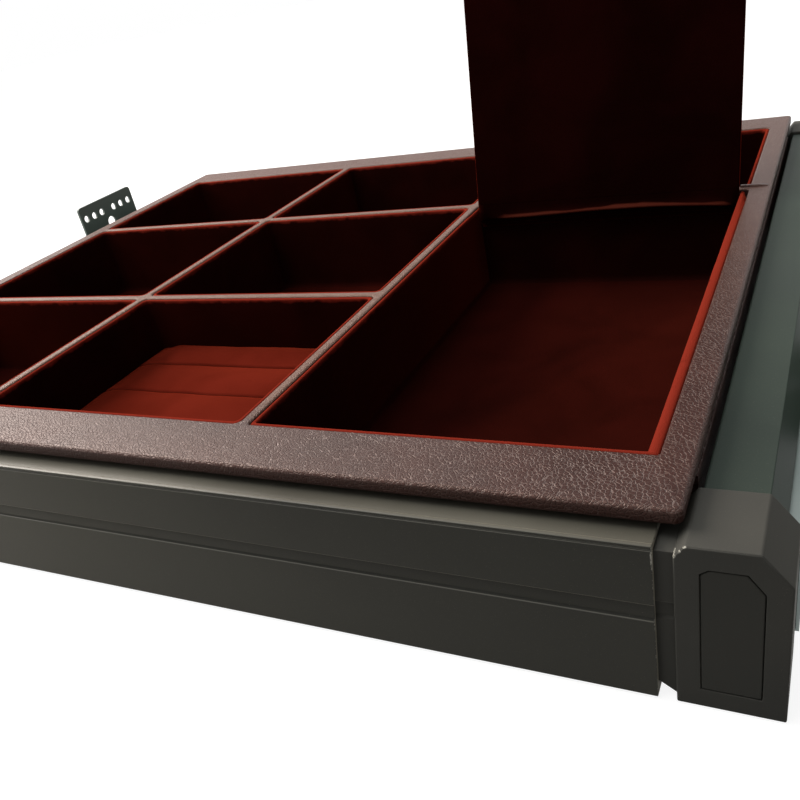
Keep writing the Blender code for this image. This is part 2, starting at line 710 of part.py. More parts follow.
def build_slide(side, side_name, fixed, middle, drawer):
    """One telescopic slide, from the cabinet in: outer, middle and inner member, and the balls."""
    outer_half, middle_half, inner_half = member_half_heights()
    lip = SLIDE_THICKNESS - OUTER_LIP_REACH
    outer_web = SLIDE_THICKNESS - MEMBER_SHEET
    middle_web = outer_web - MEMBER_WEB_GAP
    middle_back = middle_web - MEMBER_SHEET
    start = SLIDE_SETBACK
    members = (
        ("outer", SLIDE_THICKNESS, lip, outer_half, False, SLIDE_LENGTH, fixed),
        ("middle", middle_web, lip, middle_half, False, MIDDLE_SLIDE_LENGTH, middle),
        ("inner", 0, INNER_LIP_REACH, inner_half, True, INNER_SLIDE_LENGTH, drawer),
    )
    made = {}
    for member, web, reach, half, towards_cabinet, length, parent in members:
        section = member_section(side, web, reach, half, towards_cabinet)
        name = f"{side_name}_{member}_slide"
        made[member] = prism(name, section, "Y", start, start + length, "zinc_steel", parent)

    stud_holes = [stud_mesh(side, y, SCREW_GAP, CUT_OVERRUN) for y in stud_places()]
    cut(made["outer"], cutter(side_name + "_outer_slide_holes", stud_holes, fixed))
    holes = []
    for y in slide_screw_places():
        ends = (side * (CHANNEL_FLOOR - CUT_OVERRUN), side * (SLIDE_INNER_FACE + INNER_LIP_REACH))
        radius = SLIDE_SCREW_RADIUS + SCREW_GAP
        profile = [(ends[0], radius), (ends[1], radius)]
        holes.append(turned_mesh("hole", "X", Vector((0, y, SLIDE_CENTRE)), profile, SCREW_SEGMENTS))
    cut(made["inner"], cutter(side_name + "_inner_slide_holes", holes, drawer))

    half_race = MEMBER_SHEET + BALL_GAP + BALL_DIAMETER / 2
    cage_web = outer_web - (MEMBER_WEB_GAP - CAGE_WEB) / 2
    ball_cage(side_name + "_outer_ball_cage", side, cage_web, outer_half - half_race, middle)
    cage_web = middle_back - SEAT_GAP
    ball_cage(side_name + "_inner_ball_cage", side, cage_web, middle_half - half_race, middle)


def slide_screw_mesh():
    """Pan-head screw through the inner member into the right side rail's wall."""
    head_start = SLIDE_INNER_FACE + MEMBER_SHEET + SEAT_GAP
    profile = [
        (SIDE_HOLLOW_OUTER - SLIDE_SCREW_HEAD_HEIGHT, SLIDE_SCREW_RADIUS),
        (head_start, SLIDE_SCREW_RADIUS),
        (head_start, SLIDE_SCREW_HEAD_RADIUS),
        (head_start + SLIDE_SCREW_HEAD_HEIGHT, SLIDE_SCREW_HEAD_RADIUS),
    ]
    return smooth(turned_mesh("slide_screw", "X", Vector((0, 0, 0)), profile, SCREW_SEGMENTS))


def plate_places():
    return (FRONT_PLATE_SETBACK, FRAME_DEPTH - REAR_PLATE_SETBACK)


def stud_places():
    return [middle + way * STUD_OFFSET for middle in plate_places() for way in (-1, 1)]


def stud_mesh(side, y, grow, overrun):
    """A stud pressed into the plate that goes through the outer member, or the hole for it."""
    profile = [
        (side * (SLIDE_BACK - MEMBER_SHEET - overrun), STUD_RADIUS + grow),
        (side * (PLATE_INNER + PLATE_THICKNESS / 2), STUD_RADIUS + grow),
    ]
    return turned_mesh("stud", "X", Vector((0, y, SLIDE_CENTRE)), profile, SCREW_SEGMENTS)


def mounting_plate(name, side, middle, parent):
    """A perforated plate against the wardrobe's side panel."""
    outline = rounded_outline(
        middle - PLATE_LENGTH / 2, PLATE_BOTTOM, middle + PLATE_LENGTH / 2, PLATE_TOP, PLATE_CORNER_RADIUS
    )
    plate = prism(name, outline, "X", side * PLATE_INNER, side * PLATE_OUTER, "plate_paint", parent)
    reach = (side * (PLATE_INNER - CUT_OVERRUN), side * (PLATE_OUTER + CUT_OVERRUN))
    holes = []
    for offset in PLATE_HOLE_OFFSETS:
        for way in (-1, 1):
            centre = Vector((0, middle + way * offset, PLATE_HOLE_HEIGHT))
            profile = [(reach[0], PLATE_HOLE_RADIUS), (reach[1], PLATE_HOLE_RADIUS)]
            holes.append(turned_mesh("hole", "X", centre, profile, HOLE_SEGMENTS))
    window = [(reach[0], PLATE_WINDOW_RADIUS), (reach[1], PLATE_WINDOW_RADIUS)]
    centre = Vector((0, middle, PLATE_WINDOW_HEIGHT))
    holes.append(turned_mesh("hole", "X", centre, window, HOLE_SEGMENTS))
    cut(plate, cutter(name + "_holes", holes, parent))
    studs = [stud_mesh(side, middle + way * STUD_OFFSET, 0, 0) for way in (-1, 1)]
    join(plate, cutter(name + "_studs", studs, parent))
    return plate


def build_slides(fixed, middles, drawer):
    front, rear = plate_places()
    screw = slide_screw_mesh()
    for side, side_name in ((-1, "left"), (1, "right")):
        build_slide(side, side_name, fixed, middles[side], drawer)
        mounting_plate(side_name + "_front_mounting_plate", side, front, fixed)
        mounting_plate(side_name + "_rear_mounting_plate", side, rear, fixed)
        for end_name, y in zip(("front", "rear"), slide_screw_places()):
            fastener = add_object(f"{side_name}_{end_name}_slide_screw", screw, "screw_steel", drawer)
            fastener.location = (0, y, SLIDE_CENTRE)
            fastener.rotation_euler.z = 0 if side > 0 else math.pi


def end_wall(name, rear, parent):
    """Front or rear wall of the tray, with the wide rim that hangs on the rail."""
    wall_face = TRAY_FRONT - TRAY_FRONT_WALL
    section = [
        (wall_face, TRAY_BOTTOM),
        (TRAY_FRONT, TRAY_BOTTOM),
        (TRAY_FRONT, TRAY_TOP),
        (RIM_FRONT, TRAY_TOP),
        (RIM_FRONT, RIM_UNDERSIDE),
        (wall_face, RIM_UNDERSIDE),
    ]
    outline = [(from_end(y, rear), z) for y, z in section]
    reach = TRAY_OUTER_HALF_WIDTH
    wall = prism(name, outline, "X", -reach, reach, "leather", parent)
    step = round_edges(wall, RIM_ROUNDING, segments=ROUNDING_SEGMENTS)
    step.limit_method = "WEIGHT"
    weigh_edges(wall, lambda a, b: rim_edge_share(a, b, from_end(RIM_FRONT, rear)))
    for side in (-1, 1):
        notch = box_outline(
            side * (BLOCK_INNER - SEAT_GAP),
            from_end(wall_face - CUT_OVERRUN, rear),
            side * (reach + CUT_OVERRUN),
            from_end(BLOCK_BACK + SEAT_GAP, rear),
        )
        span = (TRAY_BOTTOM - CUT_OVERRUN, RIM_UNDERSIDE)
        cut(wall, prism(f"{name}_notch_{side}", notch, "Z", *span, "leather", parent))
    return wall


def weigh_edges(piece, rule):
    """Gives each edge the share of the rounding that the rule says."""
    mesh = piece.data
    weights = mesh.attributes.new("bevel_weight_edge", "FLOAT", "EDGE")
    for edge in mesh.edges:
        ends = [mesh.vertices[index].co for index in edge.vertices]
        weights.data[edge.index].value = rule(*ends)


def same(value, target):
    return abs(value - target) < SEAT_GAP / 2


def rim_edge_share(first, second, rim_face):
    """Full rounding on the rim's outer top edge, less on its inner top edge, none elsewhere."""
    if not (same(first.z, TRAY_TOP) and same(second.z, TRAY_TOP)):
        return 0.0
    if same(first.y, rim_face) and same(second.y, rim_face):
        return 1.0
    if same(abs(first.x), TRAY_OUTER_HALF_WIDTH) and same(first.x, second.x):
        return 1.0
    return EDGE_ROUNDING / RIM_ROUNDING


def side_wall(name, side, parent):
    low = (side * TRAY_INNER_HALF_WIDTH, TRAY_FRONT + SEAT_GAP, TRAY_BOTTOM)
    high = (side * TRAY_OUTER_HALF_WIDTH, TRAY_REAR - SEAT_GAP, TRAY_TOP)
    wall = box(name, low, high, "leather", parent)
    step = round_edges(wall, RIM_ROUNDING, segments=ROUNDING_SEGMENTS)
    step.limit_method = "WEIGHT"
    outer = side * TRAY_OUTER_HALF_WIDTH
    inner = side * TRAY_INNER_HALF_WIDTH

    def share(first, second):
        if not (same(first.z, TRAY_TOP) and same(second.z, TRAY_TOP)):
            return 0.0
        if same(first.x, outer) and same(second.x, outer):
            return 1.0
        if same(first.x, inner) and same(second.x, inner):
            return EDGE_ROUNDING / RIM_ROUNDING
        return 0.0

    weigh_edges(wall, share)
    return wall


def divider(name, low, high, along_y, parent):
    """A leather-covered board with a rounded top."""
    wall = box(name, low, high, "leather", parent)
    step = round_edges(wall, DIVIDER_ROUNDING, segments=ROUNDING_SEGMENTS)
    step.limit_method = "WEIGHT"

    def share(first, second):
        on_top = same(first.z, TRAY_TOP) and same(second.z, TRAY_TOP)
        lengthwise = same(first.x, second.x) if along_y else same(first.y, second.y)
        return 1.0 if on_top and lengthwise else 0.0

    weigh_edges(wall, share)
    return wall


def column_walls():
    """The left and right wall faces of each column of compartments."""
    inner = TRAY_INNER_HALF_WIDTH
    near = LONG_DIVIDER_PLACE - HALF_DIVIDER
    far = LONG_DIVIDER_PLACE + HALF_DIVIDER
    return {"left": (-inner, -far), "middle": (-near, near), "right": (far, inner)}


def row_walls():
    """The front and rear wall faces of each row of compartments."""
    return {
        "front": (TRAY_FRONT, FRONT_DIVIDER_PLACE - HALF_DIVIDER),
        "middle": (FRONT_DIVIDER_PLACE + HALF_DIVIDER, REAR_DIVIDER_PLACE - HALF_DIVIDER),
        "rear": (REAR_DIVIDER_PLACE + HALF_DIVIDER, TRAY_REAR),
    }


def compartments():
    """The walls of each compartment. The large one takes the front two rows of the right column."""
    columns = column_walls()
    rows = row_walls()
    spaces = {}
    for column, (left, right) in columns.items():
        for row, (front, rear) in rows.items():
            if column != "right" or row == "rear":
                spaces[f"{column}_{row}"] = (left, right, front, rear)
    left, right = columns["right"]
    spaces["large"] = (left, right, rows["front"][0], rows["middle"][1])
    return spaces


def liner(name, walls, parent):
    """An open box of velvet-covered card that fills a compartment."""
    left, right, front, rear = walls
    is_large = name == "large_liner"
    low = (left + SEAT_GAP, front + SEAT_GAP, LINER_BOTTOM)
    high = (right - SEAT_GAP, rear - SEAT_GAP, LINER_TOP)
    piece = box(name, low, high, "velvet", parent)
    right_wall = LINER_WIDE_WALL if is_large else LINER_WALL
    hollow_low = (low[0] + LINER_WALL, low[1] + LINER_WALL, LINER_FLOOR_TOP)
    hollow_high = (high[0] - right_wall, high[1] - LINER_WALL, LINER_TOP + CUT_OVERRUN)
    cut(piece, box(name + "_hollow", hollow_low, hollow_high, "velvet", parent))
    if is_large:
        step_low = (low[0] - CUT_OVERRUN, high[1] - LINER_WALL - CUT_OVERRUN, LINER_LOW_WALL_TOP)
        step_high = (high[0] + CUT_OVERRUN, high[1] + CUT_OVERRUN, LINER_TOP + CUT_OVERRUN)
        cut(piece, box(name + "_step", step_low, step_high, "velvet", parent))
    return piece


def pad_lines(front, rear):
    """The pad's front edge, its seams and its rear edge."""
    seams = [front + (rear - front) * share for share in PAD_SEAM_SHARES]
    return [front] + seams + [rear]


def pad_height(y, x_share, front, rear):
    """Top of the pad: each band crowned between its seams, and falling off at the pad's edges."""
    lines = pad_lines(front, rear)
    crown = 0.0
    for low, high in zip(lines, lines[1:]):
        if low <= y <= high:
            share = (y - low) / (high - low)
            crown = math.sqrt(max(0.0, math.sin(math.pi * share)))
    end_fall = PAD_CROWN * abs(2 * x_share - 1) ** PAD_END_POWER
    return PAD_TOP - PAD_SEAM_DEPTH * (1 - crown) - end_fall


def channelled_pad(parent):
    """Padded insert with seams sewn across it, which lies in the front middle compartment."""
    left, right, front, rear = compartments()["middle_front"]
    space = SEAT_GAP + LINER_WALL + SEAT_GAP
    left, right, front, rear = left + space, right - space, front + space, rear - space
    bottom = LINER_FLOOR_TOP + SEAT_GAP
    lines = pad_lines(front, rear)
    ys = [front]
    for low, high in zip(lines, lines[1:]):
        for step in range(1, PAD_STEPS_IN_BAND + 1):
            turn = math.pi * step / PAD_STEPS_IN_BAND
            ys.append(low + (high - low) * (1 - math.cos(turn)) / 2)
    shares = [(1 - math.cos(math.pi * step / PAD_STEPS_ACROSS)) / 2 for step in range(PAD_STEPS_ACROSS + 1)]
    shape = bmesh.new()
    top = []
    for y in ys:
        row = []
        for share in shares:
            x = left + (right - left) * share
            row.append(shape.verts.new((x, y, pad_height(y, share, front, rear))))
        top.append(row)
    for first, second in zip(top, top[1:]):
        for column in range(len(shares) - 1):
            shape.faces.new((first[column], first[column + 1], second[column + 1], second[column]))
    rim = top[0] + [row[-1] for row in top[1:]] + top[-1][-2::-1] + [row[0] for row in top[-2:0:-1]]
    centre = Vector(((left + right) / 2, (front + rear) / 2, 0))
    rings = [rim]
    for height, inset in ((PAD_TOP - PAD_EDGE_FALL - PAD_SEAM_DEPTH, PAD_DRAWN_IN), (bottom, 0)):
        ring = []
        for vert in rim:
            x = vert.co.x - math.copysign(inset, vert.co.x - centre.x)
            y = vert.co.y - math.copysign(inset, vert.co.y - centre.y)
            ring.append(shape.verts.new((x, y, height)))
        rings.append(ring)
    for first, second in zip(rings, rings[1:]):
        for index in range(len(rim)):
            after = (index + 1) % len(rim)
            shape.faces.new((first[index], first[after], second[after], second[index]))
    shape.faces.new(rings[-1])
    bmesh.ops.recalc_face_normals(shape, faces=shape.faces)
    mesh = bpy.data.meshes.new("channelled_pad")
    shape.to_mesh(mesh)
    shape.free()
    return add_object("channelled_pad", mesh, "velvet", parent)


def lid_sides():
    """The left and right edge of the lid, inside the liner of the large compartment."""
    left, right = column_walls()["right"]
    return left + SEAT_GAP + LINER_WALL + LID_SIDE_SPACE, right - SEAT_GAP - LINER_WIDE_WALL - LID_SIDE_SPACE


def lid_underside():
    """Height of the closed lid's underside."""
    return TRAY_TOP - LID_BOARD - SEAT_GAP - LID_PANEL


def lid_batten(parent):
    """Velvet-covered batten on the front wall of the large compartment, which the lid closes on."""
    left, right = lid_sides()
    front = TRAY_FRONT + SEAT_GAP + LINER_WALL + SEAT_GAP
    top = lid_underside() - SEAT_GAP
    low = (left + BATTEN_END_SPACE, front, top - BATTEN_HEIGHT)
    high = (right - BATTEN_END_SPACE, front + BATTEN_WIDTH, top)
    return box("lid_batten", low, high, "velvet", parent)


def rim_lap(parent):
    """Leather lap across the right rim, level with the hinge."""
    low = (TRAY_INNER_HALF_WIDTH, LAP_FRONT, TRAY_TOP + SEAT_GAP)
    high = (
        TRAY_OUTER_HALF_WIDTH - RIM_ROUNDING - LAP_OUTER_SPACE,
        LAP_FRONT + LAP_WIDTH,
        TRAY_TOP + SEAT_GAP + LAP_THICKNESS,
    )
    lap = box("rim_lap", low, high, "leather", parent)
    round_edges(lap, LAP_EDGE)
    return lap


def build_tray(parent):
    gap = SEAT_GAP
    base_low = (-TRAY_INNER_HALF_WIDTH + gap, TRAY_FRONT + gap, TRAY_BOTTOM)
    base_high = (TRAY_INNER_HALF_WIDTH - gap, TRAY_REAR - gap, BASE_TOP)
    box("tray_base", base_low, base_high, "board", parent)
    end_wall("tray_front_wall", False, parent)
    end_wall("tray_rear_wall", True, parent)
    side_wall("tray_left_wall", -1, parent)
    side_wall("tray_right_wall", 1, parent)

    foot = BASE_TOP + gap
    rows = row_walls()
    for side, side_name in ((-1, "left"), (1, "right")):
        place = side * LONG_DIVIDER_PLACE
        low = (place - HALF_DIVIDER, TRAY_FRONT + gap, foot)
        high = (place + HALF_DIVIDER, TRAY_REAR - gap, TRAY_TOP)
        divider(side_name + "_long_divider", low, high, True, parent)
    for column, (left, right) in column_walls().items():
        for row, front_face, rear_face in (
            ("front", rows["front"][1], rows["middle"][0]),
            ("rear", rows["middle"][1], rows["rear"][0]),
        ):
            if column == "right" and row == "front":
                continue
            low = (left + gap, front_face, foot)
            high = (right - gap, rear_face, TRAY_TOP)
            divider(f"{column}_{row}_divider", low, high, False, parent)
    for name, walls in compartments().items():
        liner(name + "_liner", walls, parent)
    channelled_pad(parent)
    lid_batten(parent)
    rim_lap(parent)


def build_lid(parent):
    """The lid in its closed pose about the fold's axis. Its parent tilts it open."""
    left, right = lid_sides()
    rear = -LID_SETBACK
    top = FOLD_DROP
    board_low = (left, rear - LID_LENGTH, top - LID_BOARD)
    board = box("lid_board", board_low, (right, rear, top), "leather", parent)
    round_edges(board, LID_EDGE)
    panel_top = top - LID_BOARD - SEAT_GAP
    inset = LID_PANEL_INSET
    panel_low = (left + inset, rear - LID_LENGTH + inset, panel_top - LID_PANEL)
    panel_high = (right - inset, rear - inset, panel_top)
    box("lid_velvet_panel", panel_low, panel_high, "velvet", parent)
    profile = [(left, FOLD_RADIUS), (right, FOLD_RADIUS)]
    fold = smooth(turned_mesh("lid_fold", "X", Vector((0, 0, 0)), profile, FOLD_SEGMENTS))
    add_object("lid_fold", fold, "leather", parent)


def main():
    clear_scene()
    fixed = empty("cabinet_side", (0, -FRAME_DEPTH / 2, BLOCK_DROP))
    middles = {
        -1: empty("left_middle_run", (0, 0, 0), fixed),
        1: empty("right_middle_run", (0, 0, 0), fixed),
    }
    drawer = empty("drawer_run", (0, 0, 0), fixed)
    lid_axis = empty(
        "lid_axis", (0, PIVOT_PLACE, PIVOT_HEIGHT), drawer, tilt=-math.radians(90.0 + LID_LEAN_DEG)
    )
    build_frame(drawer)
    build_slides(fixed, middles, drawer)
    build_tray(drawer)
    build_lid(lid_axis)


main()
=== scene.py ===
"""The looks of a pull-out jewellery drawer for a wardrobe.

Lengths are in millimetres in the drawer's own frame: X from its middle, Y back from the front
rail's face and Z up from the rails' underside. The function at() turns them into the metres of the
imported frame.
"""

import json
import math

import bmesh
import bpy
from mathutils import Matrix, Vector, noise


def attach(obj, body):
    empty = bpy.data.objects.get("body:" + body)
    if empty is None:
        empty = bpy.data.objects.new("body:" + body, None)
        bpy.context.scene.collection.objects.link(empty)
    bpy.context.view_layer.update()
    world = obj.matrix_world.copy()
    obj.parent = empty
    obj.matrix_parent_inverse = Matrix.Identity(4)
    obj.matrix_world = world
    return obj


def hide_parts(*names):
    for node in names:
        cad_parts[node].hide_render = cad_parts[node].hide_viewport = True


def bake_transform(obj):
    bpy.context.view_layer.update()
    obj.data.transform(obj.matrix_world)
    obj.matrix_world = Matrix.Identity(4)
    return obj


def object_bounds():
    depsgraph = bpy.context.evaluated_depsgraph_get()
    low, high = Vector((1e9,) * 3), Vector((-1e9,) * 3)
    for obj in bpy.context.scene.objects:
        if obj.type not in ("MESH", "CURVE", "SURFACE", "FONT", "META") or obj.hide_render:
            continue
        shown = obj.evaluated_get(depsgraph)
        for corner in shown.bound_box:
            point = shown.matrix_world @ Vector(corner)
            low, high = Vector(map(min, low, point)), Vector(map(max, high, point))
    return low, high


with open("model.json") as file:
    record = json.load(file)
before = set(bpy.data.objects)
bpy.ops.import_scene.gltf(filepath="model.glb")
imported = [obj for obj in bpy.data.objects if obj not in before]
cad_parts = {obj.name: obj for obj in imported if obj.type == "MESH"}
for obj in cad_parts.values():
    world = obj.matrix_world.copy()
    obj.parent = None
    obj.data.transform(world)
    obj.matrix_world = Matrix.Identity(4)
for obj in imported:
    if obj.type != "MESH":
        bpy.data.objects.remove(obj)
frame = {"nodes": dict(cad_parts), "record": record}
nodes = frame["nodes"]
cad_box = [[float(value) for value in corner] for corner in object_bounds()]

# Where the drawer's own frame starts, in metres
ORIGIN = Vector((0, -0.24975, 0.00065))

# Sizes of the tray
TRAY_TOP = 73.5
OUTER_X = 271.7
INNER_X = 259.7
RIM_FRONT = 8.6
RIM_REAR = 490.9
TRAY_FRONT = 38.4
TRAY_REAR = 461.1
WALL_FACE = 26.4
RIM_UNDER = 65.3
TRAY_BOTTOM = 9.0
DIVIDER_X = 87.3
FRONT_DIVIDER_Y = 176.1
REAR_DIVIDER_Y = 324.4
HALF_DIVIDER = 2.6
SIDE_WALL_START = 38.7
SIDE_WALL_END = 460.8
DIVIDER_FOOT = 17.0
LINER_BOTTOM = 17.0
FLOOR = 19.4
LINER_TOP = 73.0

# The lid's hinge and how far it leans back
PIVOT_Y = 320.5
PIVOT_Z = 73.2
LID_OPEN_DEG = 101.0


def at(x, y, z):
    """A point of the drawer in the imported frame, in metres."""
    return Vector((x, y, z)) / 1000 + ORIGIN


# Colours and nodes
def colour(code):
    """An sRGB hex colour as linear RGBA."""
    values = []
    for index in (1, 3, 5):
        share = int(code[index:index + 2], 16) / 255
        values.append(share / 12.92 if share <= 0.04045 else ((share + 0.055) / 1.055) ** 2.4)
    return (*values, 1.0)


def grey(value):
    """An even grey as linear RGBA."""
    return (value, value, value, 1.0)


def feed(tree, node, inputs):
    """Sets a node's inputs, or links them to other nodes."""
    for name, value in inputs.items():
        if isinstance(value, bpy.types.NodeSocket):
            tree.links.new(value, node.inputs[name])
        else:
            node.inputs[name].default_value = value


def add_node(tree, kind, inputs=None, **settings):
    """Adds a node with its settings and inputs."""
    node = tree.nodes.new(kind)
    for name, value in settings.items():
        setattr(node, name, value)
    feed(tree, node, inputs or {})
    return node


def new_material(name):
    """An empty material with its shader, and its coordinates in millimetres."""
    material = bpy.data.materials.new(name)
    material.use_nodes = True
    tree = material.node_tree
    tree.nodes.clear()
    output = add_node(tree, "ShaderNodeOutputMaterial")
    shader = add_node(tree, "ShaderNodeBsdfPrincipled")
    tree.links.new(shader.outputs["BSDF"], output.inputs["Surface"])
    place = add_node(tree, "ShaderNodeTexCoord")
    scale = add_node(
        tree, "ShaderNodeMapping", {"Vector": place.outputs["Object"], "Scale": (1000, 1000, 1000)}
    )
    return material, tree, shader, scale.outputs["Vector"]


def ramp(tree, value, low, high, low_colour, high_colour):
    """A colour ramp between two values."""
    node = add_node(tree, "ShaderNodeValToRGB", {"Fac": value})
    node.color_ramp.elements[0].position = low
    node.color_ramp.elements[1].position = high
    node.color_ramp.elements[0].color = low_colour
    node.color_ramp.elements[1].color = high_colour
    return node.outputs["Color"]


def mapped(tree, value, low, high, low_result=0.0, high_result=1.0):
    """A value carried over from one range to another, and held at its ends."""
    ends = {"From Min": low, "From Max": high, "To Min": low_result, "To Max": high_result}
    return add_node(tree, "ShaderNodeMapRange", {"Value": value, **ends}).outputs["Result"]


def mixed(tree, share, under, over):
    """One colour over another, by a share."""
    inputs = {"Factor": share, 6: under, 7: over}
    return add_node(tree, "ShaderNodeMix", inputs, data_type="RGBA").outputs[2]


def calculated(tree, operation, *values):
    """One step of arithmetic."""
    inputs = dict(enumerate(values))
    return add_node(tree, "ShaderNodeMath", inputs, operation=operation).outputs["Value"]


def moved(tree, operation, *values):
    """One step of arithmetic on places."""
    inputs = dict(enumerate(values))
    return add_node(tree, "ShaderNodeVectorMath", inputs, operation=operation).outputs["Vector"]


def along(tree, place, axis):
    """How far along an axis a place lies."""
    return add_node(tree, "ShaderNodeSeparateXYZ", {0: place}).outputs[axis]


def lumps(tree, place, scale, detail, roughness=0.5, distortion=0.0):
    """Soft noise. The scale says how many lumps there are to a millimetre."""
    inputs = {"Scale": scale, "Detail": detail, "Roughness": roughness, "Distortion": distortion}
    return add_node(tree, "ShaderNodeTexNoise", {"Vector": place, **inputs}).outputs["Fac"]


def cells(tree, place, size):
    """How far a place is from the edge of its cell, for cells of a size in millimetres."""
    inputs = {"Vector": place, "Scale": 1 / size, "Randomness": 1.0}
    node = add_node(tree, "ShaderNodeTexVoronoi", inputs, feature="DISTANCE_TO_EDGE")
    return node.outputs["Distance"]


def bumped(tree, height, strength, distance):
    """The surface's direction with a fine relief on it."""
    inputs = {"Height": height, "Strength": strength, "Distance": distance}
    return add_node(tree, "ShaderNodeBump", inputs).outputs["Normal"]


# Finishes
PEBBLE_SIZE = 1.6
WRINKLE_SIZE = 0.7
# Where along the drawer the painted glint in the leather's creases starts to grow and where it is
# full
PAINTED_GLINTS_FROM = -120.0
PAINTED_GLINTS_TO = 160.0


def pebbled_leather(name, base, light, shine=0.45, painted_far_sheen=None):
    """Pigmented cow leather pressed with a pebble grain: dull wine brown with fine pale creases.

    The creases' paleness is a painted glint, painted stronger towards the drawer's right. The
    painted far sheen is a tone mixed in along the drawer in place of the sheen of far leather seen
    low: its tone, where it starts and where it is full."""
    material, tree, shader, place = new_material(name)
    drift = add_node(tree, "ShaderNodeTexNoise", {"Vector": place, "Scale": 0.22, "Detail": 2.0})
    warped = moved(tree, "MULTIPLY_ADD", drift.outputs["Color"], (0.9, 0.9, 0.9), place)
    pebbles = cells(tree, warped, PEBBLE_SIZE)
    dome = ramp(tree, pebbles, 0.0, 0.14, grey(0.0), grey(1.0))
    small = ramp(tree, cells(tree, warped, WRINKLE_SIZE), 0.0, 0.22, grey(0.0), grey(1.0))
    height = calculated(tree, "MULTIPLY_ADD", small, 0.18, dome)
    cloudy = lumps(tree, place, 0.03, 3.0)
    ground = ramp(tree, cloudy, 0.35, 0.70, colour(base[0]), colour(base[1]))
    # Painted sheen: a paler tone mixed in along the drawer for far leather seen at a low angle
    if painted_far_sheen:
        tone, start, full = painted_far_sheen
        origin = ORIGIN.y * 1000
        share = mapped(tree, along(tree, place, "Y"), start + origin, full + origin)
        ground = mixed(tree, share, ground, colour(tone))
    # Pale creases: a painted glint, painted stronger towards the drawer's right
    crease = ramp(tree, pebbles, 0.012, 0.05, grey(1.0), grey(0.0))
    shown = ramp(tree, lumps(tree, place, 0.3, 3.0), 0.40, 0.60, grey(0.08), grey(0.34))
    faint = calculated(tree, "MULTIPLY", crease, shown)
    glints_rightwards = mapped(tree, along(tree, place, "X"), PAINTED_GLINTS_FROM, PAINTED_GLINTS_TO, 0.15)
    pale = calculated(tree, "MULTIPLY", faint, glints_rightwards)
    feed(tree, shader, {
        "Base Color": mixed(tree, pale, ground, colour(light)),
        "Normal": bumped(tree, height, 1.0, 0.0002),
        "Roughness": 0.42,
        "Specular IOR Level": shine,
        "Specular Tint": colour("#FFDCCB"),
    })
    return material


def cut_velvet(name, dark, lit, tint, sheen, edge=None, turn=("Z", 73.1, 74.9, 4.0, 0.13)):
    """Short-pile rayon velvet: near black seen straight on, red where the pile catches light.

    The edge is a painted highlight: a brighter colour painted where the velvet turns over a wall's
    top or a fold. The turn is the axis it lies along, where the painted highlight starts, where it
    is full, how far its ragged border wanders and how often in a millimetre."""
    material, tree, shader, place = new_material(name)
    stroked = lumps(tree, place, 0.022, 3.0, distortion=0.5)
    pile = lumps(tree, place, 1.6, 3.0)
    ground = ramp(tree, stroked, 0.34, 0.66, colour(dark), colour(lit))
    # Painted highlight where the velvet turns over a top edge or a fold
    if edge:
        axis, start, full, wander, often = turn
        ragged = lumps(tree, place, often, 3.0, distortion=0.5)
        height = calculated(tree, "MULTIPLY_ADD", ragged, wander, along(tree, place, axis))
        ground = mixed(tree, mapped(tree, height, start, full), ground, colour(edge))
    feed(tree, shader, {
        "Base Color": ground,
        "Normal": bumped(tree, pile, 0.35, 0.0004),
        "Roughness": 0.95,
        "Specular IOR Level": 0.0,
        "Sheen Weight": sheen,
        "Sheen Roughness": 0.3,
        "Sheen Tint": colour(tint),
    })
    return material


def satin_metal(name, base, roughness, metallic, grain, shine=0.5, bloom=0.0, wear=()):
    """Coated metal with a fine even tooth, and a pale bloom where it is seen at a low angle.

    The grain is the size of its tooth in millimetres. Wear lists where its edges have been
    knocked bare."""
    material, tree, shader, place = new_material(name)
    tooth = lumps(tree, place, 1 / grain, 3.0)
    cloudy = lumps(tree, place, 0.012, 4.0)
    ground = ramp(tree, cloudy, 0.30, 0.72, colour(base[0]), colour(base[1]))
    specks = ramp(tree, tooth, 0.66, 0.74, grey(0.0), grey(0.3))
    ground = mixed(tree, specks, ground, colour("#8C887A"))
    feed(tree, shader, {
        "Base Color": worn_edges(tree, place, ground, wear) if wear else ground,
        "Roughness": mapped(tree, cloudy, 0.3, 0.7, roughness - 0.05, roughness + 0.06),
        "Normal": bumped(tree, tooth, 0.12, 0.00008),
        "Metallic": metallic,
        "Specular IOR Level": shine,
        "Sheen Weight": bloom,
        "Sheen Roughness": 0.4,
        "Sheen Tint": colour("#E9E1CB"),
    })
    return material


def worn_edges(tree, place, ground, wear):
    """Bare silvery metal in ragged chips: each has a middle, a reach each way and an amount."""
    ragged = lumps(tree, place, 1.2, 5.0, 0.7)
    for middle, reach, amount in wear:
        offset = moved(tree, "SUBTRACT", place, tuple(Vector(middle) + ORIGIN * 1000))
        scaled = moved(tree, "MULTIPLY", offset, tuple(1 / length for length in reach))
        away = add_node(tree, "ShaderNodeVectorMath", {0: scaled}, operation="LENGTH")
        near = mapped(tree, away.outputs["Value"], 0.0, 1.0, amount, 0.0)
        chips = calculated(tree, "MULTIPLY", ragged, calculated(tree, "MINIMUM", near, 1.0))
        mask = ramp(tree, chips, 0.44, 0.50, grey(0.0), grey(1.0))
        ground = mixed(tree, mask, ground, colour("#BDBBAF"))
    return ground


def raw_fibreboard(name):
    """Pressed wood fibres, sanded and left bare: mottled buff with short pale and dark fibres."""
    material, tree, shader, place = new_material(name)
    fibres = lumps(tree, place, 0.9, 6.0, 0.75)
    ground = ramp(tree, fibres, 0.3, 0.7, colour("#9A7E5E"), colour("#C9B08C"))
    feed(tree, shader, {"Base Color": ground, "Roughness": 0.85})
    return material


